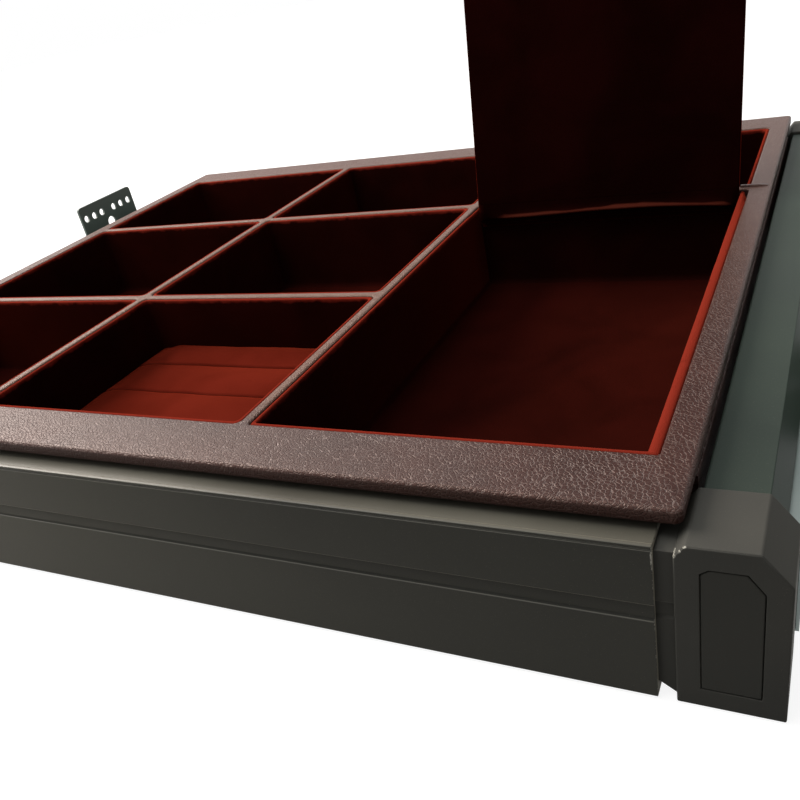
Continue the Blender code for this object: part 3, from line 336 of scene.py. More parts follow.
# Building meshes
def new_piece(name, shape, material, body="drawer", smooth_deg=50.0):
    """A piece from a bmesh in metres, shaded smooth, that rides on a body."""
    bmesh.ops.recalc_face_normals(shape, faces=shape.faces)
    mesh = bpy.data.meshes.new(name)
    shape.to_mesh(mesh)
    shape.free()
    mesh.materials.append(material)
    mesh.shade_smooth()
    mesh.set_sharp_from_angle(angle=math.radians(smooth_deg))
    piece = bpy.data.objects.new(name, mesh)
    bpy.context.scene.collection.objects.link(piece)
    if body:
        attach(piece, body)
    return piece


def rounded_loop(left, right, front, rear, radius, corner_steps=6, side_steps=1):
    """Points round a rectangle with round corners, seen from above."""
    points = []
    corners = (
        (right - radius, front + radius, -90.0),
        (right - radius, rear - radius, 0.0),
        (left + radius, rear - radius, 90.0),
        (left + radius, front + radius, 180.0),
    )
    for index, (x, y, start) in enumerate(corners):
        arc = []
        for step in range(corner_steps + 1):
            turn = math.radians(start + 90.0 * step / corner_steps)
            arc.append((x + radius * math.cos(turn), y + radius * math.sin(turn)))
        points += arc
        next_x, next_y, next_start = corners[(index + 1) % 4]
        turn = math.radians(next_start)
        goal = (next_x + radius * math.cos(turn), next_y + radius * math.sin(turn))
        for step in range(1, side_steps):
            share = step / side_steps
            points.append((
                arc[-1][0] + (goal[0] - arc[-1][0]) * share,
                arc[-1][1] + (goal[1] - arc[-1][1]) * share,
            ))
    return points


def skin(shape, loops):
    """Quads between rings of the same number of vertices."""
    for first, second in zip(loops, loops[1:]):
        for index in range(len(first)):
            after = (index + 1) % len(first)
            shape.faces.new((first[index], first[after], second[after], second[index]))


def closed_skin(shape, loops):
    """A skin between rings, with its first and last ring filled."""
    skin(shape, loops)
    shape.faces.new(loops[0])
    shape.faces.new(loops[-1])


def add_box(shape, low, high):
    """A plain box of hidden board under a leather cover."""
    made = bmesh.ops.create_cube(shape, size=1.0)["verts"]
    size = Vector(high) - Vector(low)
    middle = (Vector(high) + Vector(low)) / 2
    for vert in made:
        local = Vector((vert.co.x * size.x, vert.co.y * size.y, vert.co.z * size.z)) + middle
        vert.co = at(*local)


def slot_of(name):
    """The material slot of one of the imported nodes."""
    rows = frame["record"]["subparts"]
    return next(item["material_slot"] for item in rows if item["node"] == name)


# Frame with broken edges
EDGE_BREAK = 0.25
FLAT_DEG = 0.5
SHARP_DEG = 25.0
NARROW_FACE = 0.4
FACES_UP = 0.15
TOP_FACES = 60.0
LEDGE = 35.1
GROOVE_LOW = 63.7
GROOVE_HIGH = 64.5
GROOVE_DEPTH = 0.5
GROOVE_TOOL_HALF = 300
FRAME_LENGTH = 499.5


def grooved(shape, rear):
    """Cuts the fine groove under a rail's top bead."""
    tool_shape = bmesh.new()
    ends = (FRAME_LENGTH - GROOVE_DEPTH, FRAME_LENGTH + 1) if rear else (-1, GROOVE_DEPTH)
    low, high = (-GROOVE_TOOL_HALF, ends[0], GROOVE_LOW), (GROOVE_TOOL_HALF, ends[1], GROOVE_HIGH)
    add_box(tool_shape, low, high)
    pair = []
    for label, source in (("rail", shape), ("tool", tool_shape)):
        mesh = bpy.data.meshes.new(label)
        source.to_mesh(mesh)
        source.free()
        thing = bpy.data.objects.new(label, mesh)
        bpy.context.scene.collection.objects.link(thing)
        pair.append(thing)
    cut = pair[0].modifiers.new("groove", "BOOLEAN")
    cut.operation = "DIFFERENCE"
    cut.solver = "EXACT"
    cut.object = pair[1]
    result = bmesh.new()
    result.from_mesh(pair[0].evaluated_get(bpy.context.evaluated_depsgraph_get()).data)
    for thing in pair:
        bpy.data.objects.remove(thing)
    return result


def is_narrow(mesh, face):
    """Whether a face is a strip of a broken edge, which is shaded round."""
    places = [mesh.vertices[index].co for index in face.vertices]
    longest = max((places[index] - places[index - 1]).length for index in range(len(places)))
    return face.area < longest * NARROW_FACE / 1000


def build_frame():
    """The rails, blocks and covers, with every sharp edge broken so that it catches light."""
    for name, node in list(nodes.items()):
        if not name.endswith(("_rail", "_corner", "_cover")):
            continue
        shape = bmesh.new()
        shape.from_mesh(node.data)
        shape.transform(node.matrix_world)
        is_long_rail = name in ("front_rail", "rear_rail")
        if is_long_rail:
            shape = grooved(shape, name == "rear_rail")
        bmesh.ops.remove_doubles(shape, verts=shape.verts, dist=1e-6)
        bmesh.ops.dissolve_limit(
            shape, angle_limit=math.radians(FLAT_DEG), verts=shape.verts, edges=shape.edges
        )
        sharp = [edge for edge in shape.edges if edge.calc_face_angle(0) > math.radians(SHARP_DEG)]
        bmesh.ops.bevel(
            shape, geom=sharp, offset=EDGE_BREAK / 1000, segments=2, profile=0.5, affect="EDGES"
        )
        finish = node.data.materials[0]
        piece = new_piece(name + "_finished", shape, finish, smooth_deg=35.0)
        if is_long_rail:
            # The long rails' tops and upward ledge strips take a lighter copy of the coat: painted
            # highlight
            piece.data.materials.append(rail_top_painted_highlight_metal)
        for face in piece.data.polygons:
            narrow = is_narrow(piece.data, face)
            face.use_smooth = narrow
            on_top = face.center.z > at(0, 0, TOP_FACES).z
            on_ledge = narrow and face.center.z < at(0, 0, LEDGE).z
            if is_long_rail and face.normal.z > FACES_UP and (on_top or on_ledge):
                face.material_index = 1
        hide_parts(name)


# Leather over the tray's walls and dividers
EDGE_REACH = 1.4
EDGE_FALL = 1.0
RIM_ROUNDING = 1.6
SIDE_SLOPE = 0.3
RIM_CORNER = 3.0
LEAST_CORNER = 0.3
RIM_FOOT = ((6.0, RIM_UNDER), (5.7, 67.1), (2.0, 67.2), (0.9, 67.5), (0.3, 68.1), (0.0, 69.0))
LARGE_HOLE_RADIUS = 1.4
HOLE_RADIUS = 3.6
FLARE = 4.0
ARC_STEPS = 6
BOARD_INSET = 6.0
REAR_BOARD_INSET = 17.8
BOARD_OVERLAP = 0.4
BOARD_GAP = 0.3


def compartments():
    """Each compartment's left, right, front and rear."""
    columns = {
        "left": (-INNER_X, -DIVIDER_X - HALF_DIVIDER),
        "middle": (-DIVIDER_X + HALF_DIVIDER, DIVIDER_X - HALF_DIVIDER),
        "right": (DIVIDER_X + HALF_DIVIDER, INNER_X),
    }
    rows = {
        "front": (TRAY_FRONT, FRONT_DIVIDER_Y - HALF_DIVIDER),
        "middle": (FRONT_DIVIDER_Y + HALF_DIVIDER, REAR_DIVIDER_Y - HALF_DIVIDER),
        "rear": (REAR_DIVIDER_Y + HALF_DIVIDER, TRAY_REAR),
    }
    spaces = {}
    for column, sides in columns.items():
        for row, ends in rows.items():
            if column != "right" or row == "rear":
                spaces[f"{column}_{row}"] = (*sides, *ends)
    spaces["large"] = (*columns["right"], rows["front"][0], rows["middle"][1])
    return spaces


def leather_owner(x, y):
    """The wall or divider whose leather covers this spot."""
    from_front = (y - RIM_FRONT) / (TRAY_FRONT + FLARE - RIM_FRONT)
    from_rear = (RIM_REAR - y) / (RIM_REAR - TRAY_REAR + FLARE)
    from_side = (OUTER_X - abs(x)) / (OUTER_X - INNER_X + FLARE)
    if min(from_front, from_rear, from_side) < 1:
        if from_side <= min(from_front, from_rear):
            return "tray_right_wall" if x > 0 else "tray_left_wall"
        return "tray_front_wall" if from_front < from_rear else "tray_rear_wall"
    if abs(abs(x) - DIVIDER_X) < HALF_DIVIDER + FLARE:
        return "right_long_divider" if x > 0 else "left_long_divider"
    column = "middle" if abs(x) < DIVIDER_X else ("right" if x > 0 else "left")
    row = "front" if abs(y - FRONT_DIVIDER_Y) < abs(y - REAR_DIVIDER_Y) else "rear"
    return f"{column}_{row}_divider"


def hole_radius(name):
    """How round the corners of a compartment are at the top."""
    return LARGE_HOLE_RADIUS if name == "large" else HOLE_RADIUS


def rim_loop(inset, radius):
    """The rim's outline seen from above, drawn in by an inset."""
    return rounded_loop(
        -OUTER_X + inset, OUTER_X - inset, RIM_FRONT + inset, RIM_REAR - inset, radius
    )


def leather_cover_shape():
    """The one leather surface over all walls and dividers, with a rounded edge round each hole."""
    shape = bmesh.new()
    flat_edges = []
    outer = []
    for inset, height in RIM_FOOT:
        loop = rim_loop(inset, max(LEAST_CORNER, RIM_CORNER - inset))
        outer.append([shape.verts.new(at(x, y, height)) for x, y in loop])
    for step in range(ARC_STEPS + 1):
        turn = math.pi / 2 * step / ARC_STEPS
        inset = RIM_ROUNDING * (1 - math.cos(turn))
        height = TRAY_TOP - RIM_ROUNDING * (1 - math.sin(turn))
        loop = rim_loop(inset, RIM_CORNER - inset)
        outer.append([shape.verts.new(at(x, y, height)) for x, y in loop])
    skin(shape, outer)
    flat_edges += loop_edges(outer[-1])
    for name, (left, right, front, rear) in compartments().items():
        radius = hole_radius(name)
        rings = []
        foot = rounded_loop(left, right, front, rear, radius)
        rings.append([shape.verts.new(at(x, y, RIM_UNDER)) for x, y in foot])
        for step in range(ARC_STEPS + 1):
            turn = math.pi / 2 * step / ARC_STEPS
            out = EDGE_REACH * (1 - math.cos(turn))
            height = TRAY_TOP - EDGE_FALL * (1 - math.sin(turn))
            loop = rounded_loop(left - out, right + out, front - out, rear + out, radius + out)
            rings.append([shape.verts.new(at(x, y, height)) for x, y in loop])
        skin(shape, rings)
        flat_edges += loop_edges(rings[-1])
    edges = [shape.edges.get(pair) for pair in flat_edges]
    bmesh.ops.triangle_fill(shape, edges=edges, use_beauty=True, normal=(0, 0, 1))
    return shape


def loop_edges(ring):
    """The pairs of neighbours in a ring."""
    return [(ring[index - 1], ring[index]) for index in range(len(ring))]


def cut_along_joins(shape):
    """Cuts the cover where one wall's leather meets the next one's, so that each has its own."""
    across = (
        (TRAY_FRONT + FLARE, "Y"),
        (TRAY_REAR - FLARE, "Y"),
        (INNER_X - FLARE, "X"),
        (FLARE - INNER_X, "X"),
        (DIVIDER_X + HALF_DIVIDER + FLARE, "X"),
        (DIVIDER_X - HALF_DIVIDER - FLARE, "X"),
        (-DIVIDER_X + HALF_DIVIDER + FLARE, "X"),
        (-DIVIDER_X - HALF_DIVIDER - FLARE, "X"),
    )
    planes = []
    for place, axis in across:
        point = (place, 0, 0) if axis == "X" else (0, place, 0)
        planes.append((at(*point), (1, 0, 0) if axis == "X" else (0, 1, 0)))
    for side in (-1, 1):
        for outer_y, inner_y in ((RIM_FRONT, TRAY_FRONT + FLARE), (RIM_REAR, TRAY_REAR - FLARE)):
            run = Vector((side * (INNER_X - FLARE - OUTER_X), inner_y - outer_y, 0))
            planes.append((at(side * OUTER_X, outer_y, 0), (-run.y, run.x, 0)))
    for point, normal in planes:
        everything = list(shape.verts) + list(shape.edges) + list(shape.faces)
        bmesh.ops.bisect_plane(
            shape, geom=everything, dist=1e-7, plane_co=point, plane_no=Vector(normal).normalized()
        )


def board_boxes():
    """The boards under the leather, from the tray's floor up."""
    top = RIM_UNDER + BOARD_OVERLAP
    wide = OUTER_X - BOARD_INSET
    start, end, low = SIDE_WALL_START, SIDE_WALL_END, TRAY_BOTTOM
    boxes = {
        "tray_front_wall": ((-wide, WALL_FACE, low), (wide, TRAY_FRONT, top)),
        "tray_rear_wall": ((-wide, TRAY_REAR, low), (wide, RIM_REAR - REAR_BOARD_INSET, top)),
        "tray_left_wall": ((-OUTER_X, start, low), (-INNER_X, end, top)),
        "tray_right_wall": ((INNER_X, start, low), (OUTER_X, end, top)),
    }
    for side, side_name in ((-1, "left"), (1, "right")):
        middle = side * DIVIDER_X
        boxes[side_name + "_long_divider"] = (
            (middle - HALF_DIVIDER, start, DIVIDER_FOOT),
            (middle + HALF_DIVIDER, end, top),
        )
    spans = {
        "left": (-INNER_X + BOARD_GAP, -DIVIDER_X - HALF_DIVIDER - BOARD_GAP),
        "middle": (-DIVIDER_X + HALF_DIVIDER + BOARD_GAP, DIVIDER_X - HALF_DIVIDER - BOARD_GAP),
        "right": (DIVIDER_X + HALF_DIVIDER + BOARD_GAP, INNER_X - BOARD_GAP),
    }
    for column, (left, right) in spans.items():
        for row, y in (("front", FRONT_DIVIDER_Y), ("rear", REAR_DIVIDER_Y)):
            if column == "right" and row == "front":
                continue
            boxes[f"{column}_{row}_divider"] = (
                (left, y - HALF_DIVIDER, DIVIDER_FOOT),
                (right, y + HALF_DIVIDER, top),
            )
    return boxes


def leather_of(name):
    """The leather a wall or divider is covered with."""
    if name.endswith("_divider"):
        return divider_leather
    return leather if name == "tray_front_wall" else rim_leather


def build_leather():
    """Deals the cover out to the walls and dividers, and puts each one's board under it."""
    cover = leather_cover_shape()
    cut_along_joins(cover)
    parts = {name: bmesh.new() for name in board_boxes()}
    known = {name: {} for name in parts}
    for face in cover.faces:
        middle = (face.calc_center_median() - ORIGIN) * 1000
        owner = leather_owner(middle.x, middle.y)
        shape, seen = parts[owner], known[owner]
        corners = []
        for vert in face.verts:
            if vert.index not in seen:
                seen[vert.index] = shape.verts.new(vert.co)
            corners.append(seen[vert.index])
        shape.faces.new(corners)
    cover.free()
    for name, (low, high) in board_boxes().items():
        add_box(parts[name], low, high)
        piece = new_piece(name + "_leather", parts[name], leather_of(name))
        # Faces that slope away from the top take a darker copy of the leather: painted shade
        piece.data.materials.append(side_leather_painted_shade)
        for face in piece.data.polygons:
            face.material_index = int(face.normal.z < SIDE_SLOPE)
        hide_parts(name)


# Velvet liners
LINER_GAP = 0.3
LINER_WALL = 2.0
WIDE_WALL = 4.0
CORNER_GAP = 0.2
CORNER_TAPER = 0.15
TOP_ROUND = 0.9
TOP_STEPS = 8
WALL_HEIGHTS = (64.0, 55.0, 45.0, 35.0, 27.0)
FLOOR_FILLET = 3.0
FILLET_STEPS = 4
LOW_WALL_TOP = 67.2
LOW_WALL_REACH = 2.5
LOW_WALL_SLOPE = 0.7
LOW_WALL_FOOT = 60.0
WAVE_OFTEN = 0.035
WAVE_DEPTH = 0.22


def liner_shape(name, walls):
    """An open tray of card with velvet over it: rolled top edge, soft inner corners and floor."""
    left, right, front, rear = walls
    large = name == "large"
    shape = bmesh.new()
    right_wall = WIDE_WALL if large else LINER_WALL
    corner = hole_radius(name) - CORNER_GAP
    inner_corner = corner * (1 - CORNER_TAPER)

    def outline(inset, right_inset, radius):
        """The compartment's outline seen from above, drawn in by an inset."""
        return rounded_loop(
            left + inset, right - right_inset, front + inset, rear - inset, radius, 5, 14
        )

    def ring(share, height, radius):
        """A ring at a share of the way from the liner's outer face to its inner face."""
        inset = LINER_GAP + share * LINER_WALL
        right_inset = LINER_GAP + share * right_wall
        verts = []
        for x, y in outline(inset, right_inset, radius):
            z = height
            if large and height > LOW_WALL_FOOT:
                lowered = min(1.0, max(0.0, (y - (rear - LOW_WALL_REACH)) / LOW_WALL_SLOPE))
                z -= lowered * (LINER_TOP - LOW_WALL_TOP)
            soft = noise.noise(Vector((x, y, z)) * WAVE_OFTEN)
            wave = soft * WAVE_DEPTH if share > 0.9 else 0.0
            inward = Vector(((left + right) / 2 - x, (front + rear) / 2 - y, 0)).normalized()
            verts.append(shape.verts.new(at(x + inward.x * wave, y + inward.y * wave, z)))
        return verts

    rings = [ring(0.0, LINER_BOTTOM, corner), ring(0.0, LINER_TOP - TOP_ROUND, corner)]
    for step in range(1, TOP_STEPS):
        turn = math.pi * step / TOP_STEPS
        share = (1 - math.cos(turn)) / 2
        height = LINER_TOP - TOP_ROUND * (1 - math.sin(turn))
        rings.append(ring(share, height, corner * (1 - CORNER_TAPER * share)))
    for height in (LINER_TOP - TOP_ROUND, *WALL_HEIGHTS, FLOOR + FLOOR_FILLET):
        rings.append(ring(1.0, height, inner_corner))
    for step in range(1, FILLET_STEPS + 1):
        turn = math.pi / 2 * step / FILLET_STEPS
        inset = LINER_GAP + FLOOR_FILLET * (1 - math.cos(turn))
        height = FLOOR + FLOOR_FILLET * (1 - math.sin(turn))
        loop = outline(inset + LINER_WALL, inset + right_wall, inner_corner)
        rings.append([shape.verts.new(at(x, y, height)) for x, y in loop])
    skin(shape, rings)
    shape.faces.new(rings[-1])
    shape.faces.new(rings[0])
    return shape


def build_liners(material):
    """The velvet liner of each compartment."""
    for name, walls in compartments().items():
        piece = new_piece(name + "_velvet_liner", liner_shape(name, walls), material)
        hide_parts(name + "_liner")


# Channelled pad
PAD_FRONT = 41.0
PAD_REAR = 170.9
PAD_SIDE = 82.1
PAD_TOP = 43.7
PAD_BOTTOM = 19.7
PAD_SEAMS = (78.7, 111.6, 144.5)
PAD_COLUMNS = 40
PAD_ROWS = 9
PAD_SLACK = 1.3
LEFT_FALL = 3.5
LEFT_FALL_REACH = 18.0
RIPPLE_OFTEN = 0.05
RIPPLE_DEPTH = 0.4
SEAM_FALL = 0.5
SEAM_HALF = 0.9
SEAM_DEPTH = 2.0
SEAM_LOWEST = 33.0
PAD_MOST_MOVED = 2.6
PAD_FRAMES = 20


def pad_shape():
    """A closed block of cloth with rows of vertices on the seams, and which of them are sewn."""
    shape = bmesh.new()
    lines = [PAD_FRONT, *PAD_SEAMS, PAD_REAR]
    rows = [PAD_FRONT]
    for low, high in zip(lines, lines[1:]):
        inner = [low + (high - low) * step / PAD_ROWS for step in range(1, PAD_ROWS)]
        rows += [low + SEAM_HALF, *inner, high - SEAM_HALF, high]
    columns = [-PAD_SIDE + 2 * PAD_SIDE * step / PAD_COLUMNS for step in range(PAD_COLUMNS + 1)]
    grid = []
    sewn = []
    for y in rows:
        line = []
        for x in columns:
            on_seam = min(abs(y - seam) for seam in PAD_SEAMS) < 0.01
            left_fall = max(0.0, 1 - (x + PAD_SIDE) / LEFT_FALL_REACH) ** 2 * LEFT_FALL
            ripple = noise.noise(Vector((x, y, 0)) * RIPPLE_OFTEN) * RIPPLE_DEPTH
            fall = PAD_SLACK + left_fall + (SEAM_FALL if on_seam else ripple)
            line.append(shape.verts.new(at(x, y, PAD_TOP - fall)))
            if on_seam:
                sewn.append(line[-1])
        grid.append(line)
    for first, second in zip(grid, grid[1:]):
        for index in range(len(columns) - 1):
            shape.faces.new((first[index], first[index + 1], second[index + 1], second[index]))
    right_side = [line[-1] for line in grid[1:]]
    left_side = [line[0] for line in grid[-2:0:-1]]
    rim = grid[0] + right_side + grid[-1][-2::-1] + left_side
    rings = [rim]
    floor = at(0, 0, PAD_BOTTOM).z
    for share in (0.15, 0.4, 0.7, 1.0):
        ring = []
        for vert in rim:
            x, y, z = vert.co
            ring.append(shape.verts.new((x, y, z + (floor - z) * share)))
        rings.append(ring)
    skin(shape, rings)
    shape.faces.new(rings[-1])
    shape.verts.index_update()
    held = [vert.index for vert in sewn + rings[-1] + rings[-2]]
    return shape, held


def swell(piece, held):
    """Blows the cloth up against its seams like the foam inside it, and limits how far it goes."""
    group = piece.vertex_groups.new(name="sewn")
    group.add(held, 1.0, "REPLACE")
    cloth = piece.modifiers.new("foam", "CLOTH")
    settings = cloth.settings
    settings.quality = 6
    settings.mass = 0.3
    settings.tension_stiffness = 12
    settings.compression_stiffness = 12
    settings.bending_stiffness = 0.4
    settings.vertex_group_mass = "sewn"
    settings.use_pressure = True
    settings.uniform_pressure_force = 4.0
    settings.effector_weights.gravity = 0.0
    scene = bpy.context.scene
    for step in range(1, PAD_FRAMES + 1):
        scene.frame_set(step)
    swollen = piece.evaluated_get(bpy.context.evaluated_depsgraph_get()).data
    places = [vert.co.copy() for vert in swollen.vertices]
    scene.frame_set(1)
    piece.modifiers.remove(cloth)
    most = PAD_MOST_MOVED / 1000
    side = at(PAD_SIDE, 0, 0).x
    front, rear = at(0, PAD_FRONT, 0).y, at(0, PAD_REAR, 0).y
    for vert, place in zip(piece.data.vertices, places):
        run = place - vert.co
        if run.length > most:
            run *= most / run.length
        vert.co += run
        vert.co.x = min(max(vert.co.x, -side), side)
        vert.co.y = min(max(vert.co.y, front), rear)


def build_pad(material):
    """Foam under velvet, drawn down by three sewn seams that run from side to side."""
    shape, held = pad_shape()
    piece = new_piece("channelled_velvet_pad", shape, material, smooth_deg=80.0)
    swell(piece, held)
    finer = piece.modifiers.new("finer", "SUBSURF")
    finer.levels = finer.render_levels = 1
    mesh = bpy.data.meshes.new_from_object(
        piece.evaluated_get(bpy.context.evaluated_depsgraph_get())
    )
    piece.modifiers.clear()
    piece.vertex_groups.clear()
    piece.data = mesh
    mesh.name = piece.name
    for vert in mesh.vertices:
        from_seam = min(abs(vert.co.y - at(0, seam, 0).y) for seam in PAD_SEAMS) * 1000
        if vert.co.z > at(0, 0, SEAM_LOWEST).z and from_seam < SEAM_HALF:
            vert.co.z -= SEAM_DEPTH * (1 - from_seam / SEAM_HALF) / 1000
    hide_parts("channelled_pad")


# Lid
LID_LEFT = 92.8
LID_RIGHT = 254.8
LID_LENGTH = 277.9
LID_SETBACK = 1.3
LID_BOARD = 3.5
LID_PANEL = 1.4
PANEL_TOP = -1.0
PANEL_ROUNDING = 1.0
BACK_INSET = 0.3
BACK_HEIGHTS = (-0.9, 0.3)
BACK_ROUNDING = 0.55


def lid_place():
    """Turns the closed lid's own frame, which starts at its hinge, to where it stands open."""
    turn = Matrix.Rotation(math.radians(-LID_OPEN_DEG), 4, "X")
    return Matrix.Translation(at(0, PIVOT_Y, PIVOT_Z)) @ turn


def slab_shape(low, high, rounding, steps=5):
    """A flat board with all its edges rounded, in the lid's own frame in millimetres."""
    shape = bmesh.new()
    arc = []
    for step in range(steps + 1):
        turn = math.pi / 2 * step / steps
        arc.append((rounding * (1 - math.sin(turn)), rounding * (1 - math.cos(turn))))
    heights = [(inset, low[2] + rise) for inset, rise in arc]
    heights += [(inset, high[2] - rise) for inset, rise in reversed(arc)]
    rings = []
    place = lid_place()
    for inset, height in heights:
        loop = rounded_loop(
            low[0] + inset, high[0] - inset, low[1] + inset, high[1] - inset, rounding + 1.0, 4, 10
        )
        rings.append([shape.verts.new(place @ (Vector((x, y, height)) / 1000)) for x, y in loop])
    closed_skin(shape, rings)
    return shape


def build_lid(leather, velvet):
    """The lid's leather back, and the velvet panel that comes round its edges."""
    near, far = -LID_SETBACK - LID_LENGTH, -LID_SETBACK
    left, right, bottom = LID_LEFT + BACK_INSET, LID_RIGHT - BACK_INSET, near + BACK_INSET
    low, high = BACK_HEIGHTS
    back = slab_shape((left, bottom, low), (right, far, high), BACK_ROUNDING)
    piece = new_piece("lid_leather", back, leather, "lid")
    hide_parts("lid_board")
    panel = slab_shape(
        (LID_LEFT, near, -LID_BOARD - LID_PANEL), (LID_RIGHT, far, PANEL_TOP), PANEL_ROUNDING
    )
    piece = new_piece("lid_velvet", panel, velvet, "lid")
    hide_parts("lid_velvet_panel")


# Batten, seen from above, and how far it draws in at each height
BATTEN_SIDES = (96.8, 250.8)
BATTEN_ENDS = (41.0, 45.5)
BATTEN_CORNER = 1.9
BATTEN_PROFILE = ((0.0, 62.0), (0.0, 66.9), (0.35, 67.7), (1.1, 68.0))


def build_batten(velvet):
    """Velvet over a strip of card, which the closed lid lies on."""
    shape = bmesh.new()
    rings = []
    left, right = BATTEN_SIDES
    front, rear = BATTEN_ENDS
    for inset, height in BATTEN_PROFILE:
        radius = BATTEN_CORNER - inset * 0.6
        loop = rounded_loop(
            left + inset, right - inset, front + inset, rear - inset, radius, 5, 10
        )
        rings.append([shape.verts.new(at(x, y, height)) for x, y in loop])
    closed_skin(shape, rings)
    piece = new_piece("lid_batten_velvet", shape, velvet)
    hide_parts("lid_batten")


# Leather lap, and its outline from its front edge back
LAP_LEFT = 254.6
LAP_RIGHT = 269.4
LAP_FRONT = 324.9
LAP_STEPS = 16
LAP_TAPER = 0.35
LAP_PROFILE = (
    (0.0, -0.6), (0.0, 0.5), (0.25, 0.95), (0.8, 1.1), (1.8, 0.95), (4.5, 0.35), (7.0, -0.6),
)


def build_lap(leather):
    """The leather's cut end, glued down over the right rim beside the hinge."""
    shape = bmesh.new()
    rows = []
    for step in range(LAP_STEPS + 1):
        share = step / LAP_STEPS
        x = LAP_LEFT + share * (LAP_RIGHT - LAP_LEFT)
        end = min(1.0, (1 - share) / LAP_TAPER)
        wander = noise.noise(Vector((x * 0.2, 0.0, 7.0))) * 0.5
        rows.append([
            shape.verts.new(at(x, LAP_FRONT + y + wander, TRAY_TOP + z * (0.35 + 0.65 * end)))
            for y, z in LAP_PROFILE
        ])
    closed_skin(shape, rows)
    piece = new_piece("rim_lap_leather", shape, leather)
    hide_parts("rim_lap")


# Velvet of the hinge: its outline from the lid down, where it creases and how it flattens
# towards its ends
HINGE_PROFILE = (
    (317.4, 81.0), (316.8, 78.8), (316.2, 76.4), (315.9, 73.6), (315.5, 71.0), (314.9, 69.2),
    (314.1, 67.7), (313.7, 66.9), (313.8, 66.4), (314.8, 65.9), (316.3, 65.7), (316.7, 65.2),
    (315.8, 64.6), (315.6, 64.0), (316.6, 63.2), (318.2, 62.3), (319.2, 60.0),
)
HINGE_STEPS = 40
CREASE_HEIGHT = 66.5
CREASE_REACH = 4.0
CREASE_BOW = 2.4
FLAT_PLACE = 316.4
FLAT_BELOW = 66.0
LEFT_FADE = 0.18
RIGHT_FADE = 0.04
CLOTH_BACK = (0.7, -0.1)


def build_hinge_cloth(velvet):
    """The velvet that runs from the lid down over the low rear wall, with two soft creases."""
    shape = bmesh.new()
    stations = []
    for step in range(HINGE_STEPS + 1):
        share = step / HINGE_STEPS
        x = LID_LEFT + 0.3 + share * (LID_RIGHT - LID_LEFT - 0.2)
        bow = CREASE_BOW * math.sin(math.pi * share ** 1.5)
        fade = min(1.0, share / LEFT_FADE) * min(1.0, (1 - share) / RIGHT_FADE)
        front = []
        for y, z in HINGE_PROFILE:
            near = math.exp(-((z - CREASE_HEIGHT) / CREASE_REACH) ** 2)
            wander = noise.noise(Vector((x * 0.04, z * 0.1, 3.0))) * 0.5 * near
            flat = FLAT_PLACE + max(0.0, FLAT_BELOW - z) * 0.5
            front.append((y + (1 - fade) * near * (flat - y) + wander, z + bow * near))
        back = [(y + CLOTH_BACK[0], z + CLOTH_BACK[1]) for y, z in reversed(front)]
        stations.append([shape.verts.new(at(x, y, z)) for y, z in front + back])
    closed_skin(shape, stations)
    piece = new_piece("hinge_velvet", shape, velvet, body=None, smooth_deg=100.0)
    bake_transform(piece)
    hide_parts("lid_fold")


# Materials
FRAME_COLOURS = ("#32322F", "#3E3E3A")
BLOCK_COLOURS = ("#454542", "#53524D")
frame_metal = satin_metal("bronze_powder_coat", FRAME_COLOURS, 0.5, 0.0, 0.35, 0.05, 0.8)
block_metal = satin_metal(
    "painted_zinc_casting",
    BLOCK_COLOURS,
    0.5,
    0.0,
    0.30,
    0.02,
    0.1,
    wear=[
        ((270.2, 0.4, 62.7), (1.0, 0.6, 1.3), 2.0),
        ((271.7, 0.4, 64.8), (1.1, 0.6, 1.4), 1.9),
        ((273.3, 0.5, 66.7), (1.4, 0.7, 1.0), 2.0),
        ((294.5, 0.0, 67.0), (1.2, 0.9, 1.2), 2.0),
        ((270.0, 2.0, 62.9), (1.1, 3.8, 1.0), 1.9),
    ],
)
side_metal = satin_metal("grey_green_powder_coat", ("#303833", "#3D463F"), 0.5, 0.0, 0.35, 0.1)
rail_metal = satin_metal(
    "bronze_coated_extrusion",
    FRAME_COLOURS,
    0.5,
    0.0,
    0.35,
    0.05,
    0.8,
    wear=[
        ((263.8, 0.2, 60.8), (0.9, 1.0, 8.0), 2.1),
        ((263.5, 2.0, 65.4), (0.9, 4.0, 0.9), 1.7),
        ((263.8, 0.0, 30.0), (0.5, 0.6, 300.0), 1.1),
    ],
)
# A lighter, shinier copy of the rail's coat for its tops and ledge strips: the lighter tone is
# painted highlight, the higher shine is real
rail_top_painted_highlight_metal = satin_metal(
    "powder_coat_painted_highlight", ("#4A4840", "#58564C"), 0.38, 0.0, 0.35, 0.5, 0.6
)
plate_metal = satin_metal("painted_sheet_steel", ("#627069", "#6E7C75"), 0.45, 0.0, 0.5)
zinc = satin_metal("zinc_plated_steel", ("#7C8683", "#98A19E"), 0.36, 1.0, 0.8)
screw_metal = satin_metal("plated_screw_steel", ("#7D7E80", "#98999B"), 0.32, 1.0, 0.5)
cover_plastic = satin_metal("moulded_abs_cover", ("#393935", "#44433E"), 0.55, 0.0, 0.25, 0.06)
board = raw_fibreboard("raw_fibreboard")
# The leathers' pale crease colours are painted glints. The divider and rim leathers also grow
# paler along the drawer, a painted sheen, and their real shine is lower
leather = pebbled_leather("pebbled_leather", ("#2D1715", "#3A201C"), "#B0A29C")
divider_leather = pebbled_leather(
    "pebbled_leather_painted_far_sheen", ("#2C1614", "#381E1A"), "#B49A88", 0.3, ("#664A3E", 38.0, 62.0)
)
rim_leather = pebbled_leather(
    "pebbled_leather_rim", ("#2C1614", "#381E1A"), "#A08A80", 0.35, ("#553B33", 90.0, 420.0)
)
